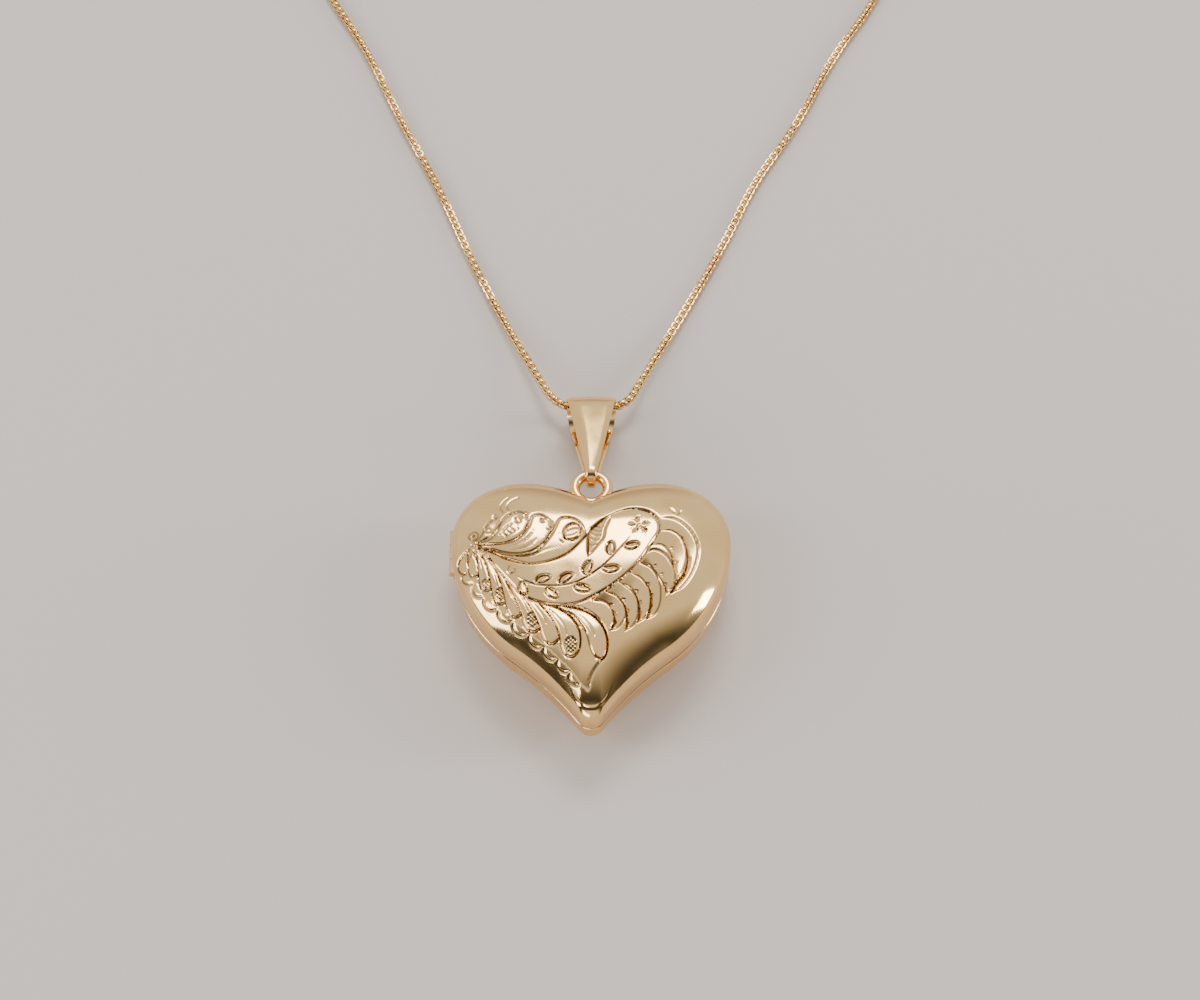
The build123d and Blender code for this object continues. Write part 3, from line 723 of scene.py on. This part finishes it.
class Engraving:
    """Cuts in the dome, painted one over another on the shell's points: depths in millimetres, and
    painted shade (dark) in the cuts for the material.
    """

    def __init__(self, spots):
        self.shape = spots.shape[:2]
        self.spots = spots.reshape(-1, 2)
        self.height = np.zeros(len(self.spots))
        # Painted shade: how dark each point is coloured, standing in for shade in the cuts.
        self.dark = np.zeros(len(self.spots))

    def around(self, line, reach):
        low, high = line.min(0) - reach, line.max(0) + reach
        inside = ((self.spots >= low) & (self.spots <= high)).all(1)
        return np.nonzero(inside)[0]

    def measure(self, index, line):
        """Distance to the line, which side, and how far along it the nearest point is."""
        starts, steps = line[:-1], np.diff(line, axis=0)
        lengths = np.maximum(np.linalg.norm(steps, axis=1), 1e-9)
        begins = np.concatenate([[0], np.cumsum(lengths)])
        best = np.full(len(index), 1e9)
        side = np.ones(len(index))
        along = np.zeros(len(index))
        spots = self.spots[index]
        for start, step, length, begin in zip(starts, steps, lengths, begins):
            offset = spots - start
            share = np.clip(offset @ step / length**2, 0, 1)
            apart = np.linalg.norm(offset - share[:, None] * step, axis=1)
            closer = apart < best
            best = np.where(closer, apart, best)
            turn = step[0] * offset[:, 1] - step[1] * offset[:, 0]
            side = np.where(closer, np.sign(turn), side)
            along = np.where(closer, (begin + share * length) / begins[-1], along)
        return best, side, along

    def inside(self, index, polygon):
        x, y = self.spots[index].T
        within = np.zeros(len(index), bool)
        for (ax, ay), (bx, by) in zip(polygon, np.roll(polygon, -1, 0)):
            if ay == by:
                continue
            crosses = (ay > y) != (by > y)
            within ^= crosses & (x < (bx - ax) * (y - ay) / (by - ay) + ax)
        return within

    def groove(self, line, width=0.17, depth=0.14, dark=0.95, taper=0.12):
        """A V-shaped cut, thinner at its ends, with painted shade along its middle."""
        index = self.around(line, width)
        if not len(index):
            return
        apart, _, along = self.measure(index, line)
        ends = np.clip(np.minimum(along, 1 - along) / taper, 0.15, 1) if taper else 1.0
        share = np.clip(1 - apart / (width * ends), 0, 1)
        self.height[index] -= depth * ends * share
        self.dark[index] = np.maximum(self.dark[index], dark * np.clip(share * 1.5 - 0.35, 0, 1))

    def petal(self, low, high, low_depth, high_depth, edge=0.1, power=1.0):
        """A field between two lines, tilted from one depth to the other, with cut edges."""
        polygon = np.concatenate([low, high[::-1]])
        index = self.around(polygon, 0.05)
        index = index[self.inside(index, polygon)]
        if not len(index):
            return
        from_low, _, _ = self.measure(index, low)
        from_high, _, _ = self.measure(index, high)
        share = (from_low / np.maximum(from_low + from_high, 1e-6)) ** power
        self.height[index] = -(low_depth + (high_depth - low_depth) * share)
        self.dark[index] = 0
        if edge:
            self.groove(low, depth=edge)
            self.groove(high, depth=edge)

    def leaf(
        self, points, width, depth=0.22, hatched=False, full_at=0.72, vein=True, outlined=True
    ):
        """A scooped leaf from a thin stem to a rounded tip, deeper along one side, with painted
        shade at its rim and, where asked, its vein and hatching.
        """
        line = curve_through(points)
        index = self.around(line, width)
        apart, side, along = self.measure(index, line)
        half = np.maximum(width * leaf_profile(along, full_at), 0.04)
        across = side * apart / half
        within = np.abs(across) < 1
        index, across, along = index[within], across[within], along[within]
        scoop = depth * (0.5 + 0.5 * across) ** 1.2 * np.clip(along * 5, 0.3, 1)
        rim = np.clip((np.abs(across) - 0.78) / 0.22, 0, 1)
        self.height[index] = -scoop - 0.09 * rim
        # Painted shade along the leaf's cut rim.
        self.dark[index] = 0.85 * np.clip(rim * 1.4 - 0.3, 0, 1)
        if vein:
            middle = np.clip(1 - np.abs(across + 0.25) / 0.13, 0, 1) * (along < 0.7)
            self.height[index] -= 0.05 * middle
            self.dark[index] = np.maximum(self.dark[index], 0.5 * middle)
        if hatched:
            x, y = self.spots[index].T
            spot = (across / 0.62) ** 2 + ((along - 0.83) / 0.11) ** 2 < 1
            lines = np.maximum(np.sin((x + y) * 17), np.sin((x - y) * 17)) > 0.45
            self.height[index] -= np.where(spot, 0.05 + 0.06 * lines, 0)
            self.dark[index] = np.where(spot, 0.25 + 0.5 * lines, self.dark[index])
        if outlined:
            self.outline(line, width, full_at)

    def outline(self, line, width, full_at):
        """A cut edge all round a leaf."""
        steps = np.gradient(line, axis=0)
        lengths = np.linalg.norm(steps, axis=1)
        along = np.concatenate([[0], np.cumsum((lengths[1:] + lengths[:-1]) / 2)])
        along /= along[-1]
        half = width * leaf_profile(along, full_at)[:, None]
        aside = np.stack([-steps[:, 1], steps[:, 0]], 1) / lengths[:, None]
        edge = np.concatenate([line + aside * half, (line - aside * half)[::-1]])
        self.groove(edge, width=0.15, depth=0.12, dark=0.95, taper=0.1)

    def result(self):
        return self.height.reshape(self.shape), np.clip(self.dark, 0, 1).reshape(self.shape)


# All points are in millimetres from the middle of the heart.
STEM_LEFT = [(-10.6, 4.6), (-9.4, 3.8), (-8.2, 1.8), (-6.0, -0.9), (-4.4, -1.8), (-2.7, -2.1)]
STEM_RIGHT = [(-1.1, -1.9), (0.4, -1.1), (1.8, -0.1), (3.2, 1.2), (4.4, 2.6), (5.4, 4.4)]
BANNER_END = [(5.4, 4.4), (6.1, 5.8), (5.9, 7.0), (5.1, 7.8), (3.8, 8.1), (2.6, 7.8), (1.3, 7.1)]
BANNER_TOP = [(-10.6, 4.6), (-9.0, 3.7), (-7.4, 2.7), (-5.1, 2.1), (-2.4, 2.9), (-0.4, 5.0)]
CREASE = [(-0.3, 5.3), (1.3, 7.1)]
RIBBON = [(1.8, 7.2), (1.3, 5.8), (1.1, 4.7), (0.4, 3.7), (-0.3, 2.7)]
UPPER_LEAVES = [
    # (lower edge, upper edge), the leaf on top last
    (
        [(-10.6, 4.7), (-9.7, 4.9), (-8.8, 5.6), (-8.0, 6.9)],
        [(-10.7, 4.9), (-9.9, 5.3), (-9.5, 6.1), (-9.0, 6.9), (-8.2, 7.3)],
    ),
    (
        [(-10.6, 4.7), (-8.6, 4.4), (-7.1, 4.7), (-6.0, 5.6), (-5.5, 7.0)],
        [(-10.6, 4.8), (-9.1, 4.9), (-8.4, 5.7), (-7.9, 6.9), (-7.2, 7.6), (-6.3, 7.8),
         (-5.6, 7.2)],
    ),
    (
        [(-10.5, 4.6), (-7.5, 3.4), (-5.5, 3.4), (-4.2, 4.4), (-3.2, 6.2)],
        [(-10.5, 4.7), (-8.5, 4.4), (-7.0, 4.5), (-6.1, 5.2), (-5.5, 6.2), (-5.2, 7.2), (-4.4, 7.3),
         (-3.4, 6.6)],
    ),
    (
        BANNER_TOP,
        [(-10.6, 4.7), (-9.0, 3.9), (-7.5, 3.2), (-5.3, 3.0), (-4.2, 4.0), (-3.3, 5.6), (-2.7, 6.9),
         (-1.6, 6.9), (-0.8, 6.2), (-0.4, 5.2)],
    ),
]
LOWER_LEAVES = [
    # (middle line, half width, hatched tip)
    ([(-10.7, 4.3), (-11.2, 3.7), (-11.4, 2.9), (-10.9, 2.0)], 0.45, False),
    ([(-10.5, 4.2), (-10.5, 3.1), (-10.3, 2.2), (-10.2, 1.4)], 0.58, False),
    ([(-10.2, 4.1), (-9.6, 2.6), (-9.2, 1.2), (-9.2, -0.2)], 0.72, True),
    ([(-9.8, 3.8), (-8.6, 1.9), (-8.0, 0.2), (-7.9, -1.7)], 0.8, True),
    ([(-9.2, 3.1), (-7.6, 1.1), (-6.8, -0.8), (-6.5, -3.1)], 0.85, False),
    ([(-8.0, 1.5), (-6.3, -0.6), (-5.3, -2.4), (-4.9, -4.6)], 0.88, True),
    ([(-6.6, -0.3), (-4.8, -1.9), (-3.7, -3.6), (-3.3, -5.8)], 0.9, False),
    ([(-5.0, -1.4), (-3.0, -2.9), (-1.9, -4.6), (-1.7, -7.1)], 0.92, True),
    ([(-3.4, -2.1), (-1.1, -2.9), (0.4, -4.6), (0.9, -7.3)], 0.85, False),
]
TAIL = [(1.4, -6.9), (0.6, -7.8), (0.0, -8.9), (-0.2, -10.1)]
SCALLOPS = [
    (-11.3, 2.2), (-10.2, 0.9), (-9.3, -0.6), (-8.0, -2.0), (-6.7, -3.3), (-5.3, -4.6),
    (-4.0, -5.8), (-2.8, -7.0), (-1.7, -8.2), (-0.8, -9.5),
]
SCALE_REACH = 0.45
# Each shell scale is an outer and an inner edge; the smaller ones lie on the larger.
SHELL_SCALES = [
    (
        [(5.9, 7.1), (7.5, 7.1), (8.9, 5.9), (9.5, 4.1), (9.1, 2.0), (8.2, 0.3), (6.9, -0.9)],
        [(5.9, 5.7), (7.1, 6.0), (8.3, 5.1), (8.8, 3.4), (8.5, 1.7), (7.7, 0.3), (6.9, -0.9)],
    ),
    (
        [(5.9, 5.6), (7.1, 5.8), (8.1, 5.0), (8.5, 3.4), (8.2, 1.8), (7.5, 0.5), (6.7, -0.6)],
        [(5.4, 4.5), (6.5, 4.7), (7.3, 4.0), (7.6, 2.8), (7.4, 1.5), (7.1, 0.5), (6.7, -0.6)],
    ),
    (
        [(4.6, 3.0), (5.6, 3.6), (6.8, 2.9), (7.4, 1.4), (7.2, 0.0), (6.5, -1.0)],
        [(4.4, 2.4), (5.3, 2.5), (6.0, 1.9), (6.5, 0.9), (6.7, -0.1), (6.5, -1.0)],
    ),
    (
        [(4.0, 2.2), (5.3, 1.7), (6.0, 0.3), (6.1, -1.3), (5.7, -2.6), (4.8, -3.5)],
        [(3.5, 1.4), (4.6, 0.9), (5.3, -0.2), (5.5, -1.3), (5.3, -2.4), (4.8, -3.5)],
    ),
    (
        [(3.3, 1.2), (4.4, 0.6), (5.1, -0.5), (5.2, -1.7), (4.9, -2.9), (4.0, -3.9)],
        [(2.7, 0.5), (3.7, 0.0), (4.3, -0.9), (4.5, -2.0), (4.4, -3.0), (4.0, -3.9)],
    ),
    (
        [(2.3, 0.2), (3.3, -0.4), (4.0, -1.4), (4.1, -2.7), (3.8, -3.8), (2.9, -4.7)],
        [(1.6, -0.5), (2.5, -0.9), (3.2, -1.8), (3.4, -2.9), (3.3, -3.9), (2.9, -4.7)],
    ),
    (
        [(1.1, -0.8), (2.2, -1.2), (2.9, -2.2), (3.0, -3.2), (2.4, -4.2), (1.6, -4.7)],
        [(0.3, -1.4), (1.4, -1.6), (2.1, -2.3), (2.3, -3.2), (2.1, -4.0), (1.6, -4.7)],
    ),
]
RIBBON_EDGE = [(1.3, 7.1), (0.4, 6.2), (-0.2, 5.4), (-0.3, 4.0), (-0.3, 2.7)]
LEAF_GROUND = [(-10.6, 4.6), (-11.8, 3.4), (-11.4, 2.0)]
MEDALLION = (-1.65, 5.45)
KNOT = (-10.45, 5.6)
# (middle, radius, start and end in degrees)
SCROLLS = [
    ((-9.2, 6.0), 0.34, 200, 560), ((-8.5, 7.4), 0.26, 60, 400), ((-6.5, 6.9), 0.32, 120, 470),
    ((-4.3, 6.7), 0.3, 20, 360), ((-3.7, 5.9), 0.24, 180, 500), ((-6.9, 1.55), 0.48, 100, 430),
    ((-5.9, 7.6), 0.25, 250, 560),
]
DASHES = [(-7.7, 5.4), (-7.4, 5.7), (-7.1, 6.0), (-2.7, 4.5), (-2.4, 4.8)]
HAIRS = [
    [(-7.7, 7.6), (-8.1, 8.4), (-7.8, 9.2), (-7.1, 9.8)],
    [(-7.2, 7.8), (-7.5, 8.5), (-7.1, 9.2), (-6.2, 9.6)],
    [(7.0, 8.2), (7.3, 8.0), (7.4, 7.7)],
    [(8.0, 8.1), (7.9, 7.8), (7.7, 7.5)],
]
POINT_LINE = [
    (-1.9, -9.0), (-1.35, -10.4), (-0.6, -11.2), (0, -11.35), (0.6, -11.2), (1.35, -10.4),
    (2.0, -8.9),
]
SPRIG = [(-6.9, 1.2), (-5.2, 0.1), (-3.2, -0.2), (-1.2, 0.2), (0.9, 1.7), (2.6, 3.7), (3.7, 5.3)]
BLOSSOM = (4.25, 6.2)
# Widths of the finer cuts
FINE, MEDIUM = 0.12, 0.13


def front_relief(spots):
    """The chased leaves, scales and banner; the banner holds a plain sprig."""
    work = Engraving(spots)
    # The ground under the lower leaves is lowered.
    leaf_ground = np.concatenate(
        [curve_through(LEAF_GROUND), curve_through(SCALLOPS), curve_through(TAIL)[::-1]]
    )
    work.petal(curve_through(STEM_LEFT), leaf_ground, 0.18, 0.06, edge=0)
    for outer, inner in SHELL_SCALES:
        outer, inner = curve_through(outer), curve_through(inner)
        # Each hollow reaches in under the next scale, so that no plain ground shows between.
        places = np.linspace(0, len(outer) - 1, len(inner))
        beside = at_stations(outer, np.arange(len(outer)), places)
        inner = inner + SCALE_REACH * (inner - beside)
        work.petal(outer, inner, 0.0, 0.34, edge=0.12, power=1.1)
        # Short shading cuts follow each scale's hollow.
        for share in (0.3, 0.5, 0.7):
            spot = int(share * (len(inner) - 1))
            away = inner[spot] - outer[min(spot, len(outer) - 1)]
            along = inner[min(spot + 3, len(inner) - 1)] - inner[spot]
            start = inner[spot] - away * 0.15
            work.groove(
                np.stack([start, start + along * 0.8 - away * 0.15, start + along * 1.7]),
                width=FINE, depth=0.06, dark=0.7,
            )
    for index, (points, width, hatched) in enumerate(LOWER_LEAVES):
        work.leaf(points, width, hatched=hatched, vein=index > 1)
    # A scalloped border of small bows closes the leaf tips.
    for first, second in zip(SCALLOPS, SCALLOPS[1:]):
        first, second = np.array(first), np.array(second)
        middle = (first + second) / 2
        out = np.array([(second - first)[1], -(second - first)[0]]) * 0.34
        out = out if out @ np.array([-1, -1]) > 0 else -out
        work.groove(
            curve_through([first, first * 0.8 + second * 0.2 + out * 0.75, middle + out,
                           first * 0.2 + second * 0.8 + out * 0.75, second]),
            width=0.15, depth=0.1,
        )
    work.groove(curve_through(TAIL), width=0.17, depth=0.11)
    for lower, upper in UPPER_LEAVES:
        work.petal(curve_through(lower), curve_through(upper), 0.22, 0.02, edge=0.12, power=0.8)
    # The banner: a plain polished field inside a cut edge.
    banner_low = curve_through(STEM_LEFT + STEM_RIGHT + BANNER_END[1:])
    banner_high = curve_through(BANNER_TOP + CREASE)
    work.petal(banner_low, banner_high, 0.09, 0.0, edge=0.13, power=0.6)
    # The folded end of the ribbon, shaded with fine parallel cuts.
    fold = curve_through(RIBBON)
    edge = curve_through(RIBBON_EDGE)
    work.petal(fold, edge, 0.02, 0.18, edge=0.12)
    for share in (0.2, 0.32, 0.44, 0.56, 0.68):
        a = fold[int(share * (len(fold) - 1))]
        b = edge[int((share * 0.9 + 0.1) * (len(edge) - 1))]
        work.groove(np.stack([a * 0.85 + b * 0.15, (a + b) / 2 - (0.1, 0.12), b]), FINE, 0.07, 0.7)
    # Long shading strokes inside the upper leaves, and the veins of the largest.
    for lower, upper in UPPER_LEAVES[1:]:
        low_line, high_line = curve_through(lower), curve_through(upper)
        for share in (0.3, 0.62):
            line = [
                low_line[int(station * (len(low_line) - 1))] * (1 - share)
                + high_line[int(station * (len(high_line) - 1))] * share
                for station in np.linspace(0.25, 0.78, 14)
            ]
            work.groove(np.stack(line), width=FINE, depth=0.07, dark=0.7, taper=0.4)
    # The medallion in the largest leaf, filled with plain hatching.
    medal = circle(MEDALLION, 0.92, squash=0.8, turn=62)
    work.petal(medal[:13], medal[12:][::-1], 0.05, 0.05, edge=0.09)
    work.groove(medal, width=MEDIUM, depth=0.08, taper=0)
    for offset in np.linspace(-0.55, 0.55, 6):
        reach = 0.62 * math.sqrt(1 - (offset / 0.75) ** 2)
        middle = np.array(MEDALLION) + (offset * 0.9, offset * 0.25)
        work.groove(
            np.stack([middle - (reach * 0.3, reach), middle + (reach * 0.3, reach)]),
            width=FINE, depth=0.08, dark=0.8, taper=0.3,
        )
    # Small scrolls: the node, the curl below the stem and the ones along the upper leaves.
    work.groove(circle(KNOT, 0.42, count=30), width=0.14, depth=0.09, taper=0)
    work.groove(circle(KNOT, 0.1, count=12), width=0.16, depth=0.12, dark=1.0, taper=0)
    for middle, radius, start, end in SCROLLS:
        line = circle(middle, radius * np.linspace(1, 0.35, 26), start, end, count=26)
        work.groove(line, width=FINE, depth=0.085, dark=0.85)
    for x, y in DASHES:
        dash = np.array([(x, y), (x + 0.2, y - 0.14)])
        work.groove(dash, width=MEDIUM, depth=0.08, dark=0.85, taper=0)
    for line in HAIRS:
        work.groove(curve_through(line), width=MEDIUM, depth=0.07, dark=0.7)
    # The sprig in the banner.
    sprig = curve_through(SPRIG)
    work.groove(sprig, width=FINE, depth=0.09)
    for index, share in enumerate(np.linspace(0.1, 0.88, 9)):
        spot = int(share * (len(sprig) - 2))
        base = sprig[spot]
        ahead = sprig[spot + 1] - base
        ahead = ahead / np.linalg.norm(ahead)
        aside = np.array([-ahead[1], ahead[0]]) * (1 if index % 2 else -1)
        length = 1.35 - 0.4 * abs(share - 0.45)
        tip = base + ahead * length * 0.85 + aside * length * 0.85
        bow = base + ahead * length * 0.25 + aside * length * 0.45
        work.leaf([base, bow, tip], 0.36, depth=0.16, vein=False, full_at=0.5)
    for petal in range(5):
        angle = math.radians(90 + petal * 72)
        way = np.array([math.cos(angle), math.sin(angle)])
        start = np.array(BLOSSOM) + way * 0.18
        work.leaf([start, start + way * 0.4, start + way * 0.8], 0.33, depth=0.2, vein=False,
                  full_at=0.6, outlined=False)
    work.groove(circle(BLOSSOM, 0.12, count=12), width=MEDIUM, depth=0.08, taper=0)
    # The engraved line that follows the point of the heart.
    work.groove(curve_through(POINT_LINE), width=MEDIUM, depth=0.07, dark=0.6, taper=0.3)
    return work.result()


shell_mesh(
    "engraved_front", 600, 130, 12, front_relief, "engraved_gold", "front", ("front_shell",), False
)
shell_mesh("plain_back", 360, 70, 10, None, "polished_gold", "back", ("back_shell",), True)

# ---- bail and loop

LOOP_RADIUS = 1.5
LOOP_WIRE = 0.5
FOOT_RADIUS = 0.42
FOOT_STATIONS = 9
BAIL_THICKNESS = 0.5
ROLL_RADIUS = 1.7 + BAIL_THICKNESS / 2
FOLD_RADIUS = 0.65 + BAIL_THICKNESS / 2
BAIL_REACH = 7.5
BAIL_FOLD_WIDTH = 0.7
BAIL_TOP_WIDTH = 4.8
BAIL_CROWN = 0.2
BAIL_ROUNDING = 0.1


def bail_mesh():
    """A strip of gold folded round the loop and rolled round the chain, crowned on its front."""
    loop_y, loop_z = LOOP_AXIS.y / MM, LOOP_AXIS.z / MM
    fold = np.array([loop_y, loop_z])
    roll = np.array([loop_y + BAIL_REACH, BAIL_AXIS_HEIGHT])
    heading = (roll - fold) / np.linalg.norm(roll - fold)
    bearing = math.atan2(heading[1], heading[0])
    lean = math.asin((ROLL_RADIUS - FOLD_RADIUS) / np.linalg.norm(roll - fold))
    upper, lower = bearing + math.pi / 2 + lean, bearing - math.pi / 2 - lean
    path, normals = [], []

    def around(middle, radius, start, end, count):
        for angle in np.linspace(start, end, count):
            normal = np.array([math.cos(angle), math.sin(angle)])
            path.append(middle + radius * normal)
            normals.append(normal)

    def straight(angle, start, start_radius, end, end_radius, count):
        normal = np.array([math.cos(angle), math.sin(angle)])
        for share in np.linspace(0, 1, count)[1:-1]:
            first = start + start_radius * normal
            last = end + end_radius * normal
            path.append(first + (last - first) * share)
            normals.append(normal)

    around(roll, ROLL_RADIUS, upper, lower, 48)
    straight(lower, roll, ROLL_RADIUS, fold, FOLD_RADIUS, 36)
    around(fold, FOLD_RADIUS, lower + 2 * math.pi, upper, 28)
    straight(upper, fold, FOLD_RADIUS, roll, ROLL_RADIUS, 36)
    path, normals = np.array(path), np.array(normals)
    low_y = loop_y - FOLD_RADIUS - BAIL_THICKNESS / 2
    high_y = roll[0] + ROLL_RADIUS + BAIL_THICKNESS / 2
    share = (path[:, 0] - low_y) / (high_y - low_y)
    half_widths = (BAIL_FOLD_WIDTH + (BAIL_TOP_WIDTH - BAIL_FOLD_WIDTH) * share) / 2
    outward = np.clip(normals[:, 1], 0, 1)
    across = 13
    rows = []
    for spot, normal, half, front in zip(path, normals, half_widths, outward):
        row = []
        for face in (1, -1):
            for step in np.linspace(-1, 1, across):
                x = face * step * half
                edge = max(0.0, abs(step) * half - (half - BAIL_ROUNDING)) / BAIL_ROUNDING
                fall = 1 - math.sqrt(max(0, 1 - edge**2))
                depth = BAIL_THICKNESS / 2 - BAIL_ROUNDING * fall
                lift = face * depth
                if face > 0:
                    lift -= BAIL_CROWN * front * min(1, half) * step**2
                y, z = spot + normal * lift
                row.append((x + LOOP_AXIS.x / MM, y, z))
        rows.append(row)
    vertices = np.array(rows).reshape(-1, 3)
    faces = grid_faces(len(rows), 2 * across, close_rows=True, flip=True)
    piece("folded_bail", vertices, faces, "polished_gold", "bail", ("bail",), sharp=50)


def loop_mesh():
    """The soldered ring, with the fillet of solder that spreads into the cleft."""
    middle = np.array([LOOP_AXIS.x / MM, LOOP_AXIS.y / MM - LOOP_RADIUS, SEAM_Z / MM])
    ring = circle(middle, LOOP_RADIUS, count=73)[:-1]
    ring_part = tube(np.column_stack([ring, np.full(len(ring), middle[2])]), LOOP_WIRE, 18)
    low, high = (np.array(corner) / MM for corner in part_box("pendant_loop"))
    foot_top = middle[1] - LOOP_RADIUS
    foot = np.linspace(
        (middle[0], foot_top + 0.1, middle[2] - 0.05),
        (middle[0], low[1] + 0.05, middle[2] - 0.5),
        FOOT_STATIONS,
    )
    foot_vertices, foot_faces = tube(foot, FOOT_RADIUS, 16, closed=False, flat=0.8)
    widening = np.interp(foot_vertices[:, 1], [low[1], foot_top], [1.25, 1.0])
    foot_vertices[:, 0] = middle[0] + (foot_vertices[:, 0] - middle[0]) * widening
    vertices, faces = joined([ring_part, (foot_vertices, foot_faces)])
    piece(
        "soldered_loop", vertices, faces, "polished_gold", "back", ("pendant_loop",), sharp=60
    )


def clear_windows():
    """The clear sheets, a hair thinner than in CAD, so that they stand off their pictures."""
    gap = 0.02
    for side in ("front", "back"):
        sheet = NODES[f"{side}_window"].data
        points = np.array([vertex.co for vertex in sheet.vertices]) / MM
        points, places = np.unique(np.round(points, 4), axis=0, return_inverse=True)
        places = places.ravel()
        faces = [[int(places[corner]) for corner in face.vertices] for face in sheet.polygons]
        low, high = points[:, 2].min(), points[:, 2].max()
        picture_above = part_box(f"{side}_picture")[1][2] / MM > high
        points[:, 2] = np.clip(
            points[:, 2], low if picture_above else low + gap, high - gap if picture_above else high
        )
        piece(
            f"{side}_clear_sheet", points, faces, "clear_sheet", side, (f"{side}_window",), sharp=30
        )


bail_mesh()
loop_mesh()
clear_windows()

# ---- floor and light


def floor():
    mesh = bpy.data.meshes.new("floor")
    reach = 1.5
    mesh.from_pydata(
        [(-reach, -reach, 0), (reach, -reach, 0), (reach, reach, 0), (-reach, reach, 0)],
        [], [(0, 1, 2, 3)],
    )
    obj = bpy.data.objects.new("floor", mesh)
    bpy.context.scene.collection.objects.link(obj)
    shader = Shader("floor", (0.66, 0.59, 0.55), roughness=0.8)
    mesh.materials.append(shader.material)


def softbox(name, place, size, power, colour=(1, 1, 1)):
    """A rectangular lamp that faces the locket."""
    data = bpy.data.lights.new(name, "AREA")
    data.shape = "RECTANGLE"
    data.size, data.size_y = size
    data.energy = power
    data.color = colour
    lamp = bpy.data.objects.new(name, data)
    bpy.context.scene.collection.objects.link(lamp)
    lamp.location = place
    lamp.rotation_euler = (HEART - Vector(place)).to_track_quat("-Z", "Y").to_euler()


def studio_world():
    """Soft surroundings in bands along Y: bright in front, dark near the top, bright behind."""
    world = bpy.data.worlds.new("studio")
    world.use_nodes = True
    tree = world.node_tree
    coordinates = tree.nodes.new("ShaderNodeTexCoord")
    split = tree.nodes.new("ShaderNodeSeparateXYZ")
    tree.links.new(coordinates.outputs["Generated"], split.inputs["Vector"])
    scaled = tree.nodes.new("ShaderNodeMath")
    scaled.operation = "MULTIPLY_ADD"
    scaled.inputs[1].default_value = 0.5
    scaled.inputs[2].default_value = 0.5
    tree.links.new(split.outputs["Y"], scaled.inputs[0])
    ramp = tree.nodes.new("ShaderNodeValToRGB")
    ramp.color_ramp.interpolation = "B_SPLINE"
    tones = [
        (0.0, 1.9), (0.12, 1.5), (0.22, 0.05), (0.36, 0.03), (0.50, 0.55), (0.63, 1.5),
        (0.76, 3.2), (0.88, 2.2), (1.0, 0.3),
    ]
    elements = ramp.color_ramp.elements
    while len(elements) < len(tones):
        elements.new(0.5)
    for element, (position, tone) in zip(elements, tones):
        element.position = position
        element.color = (tone, tone * 0.97, tone * 0.92, 1)
    tree.links.new(scaled.outputs["Value"], ramp.inputs["Fac"])
    backdrop = tree.nodes["Background"]
    backdrop.inputs["Strength"].default_value = 1.0
    tree.links.new(ramp.outputs["Color"], backdrop.inputs["Color"])
    bpy.context.scene.world = world


floor()
studio_world()
softbox("overhead", (0.04, 0.34, 0.42), (0.24, 0.16), 1.3, (1.0, 0.98, 0.95))
softbox("left", (-0.45, -0.05, 0.22), (0.16, 0.35), 1.2)
softbox("front", (-0.25, -0.50, 0.20), (0.40, 0.16), 1.1, (1.0, 0.97, 0.93))
softbox("right", (0.50, 0.02, 0.16), (0.10, 0.22), 1.4)

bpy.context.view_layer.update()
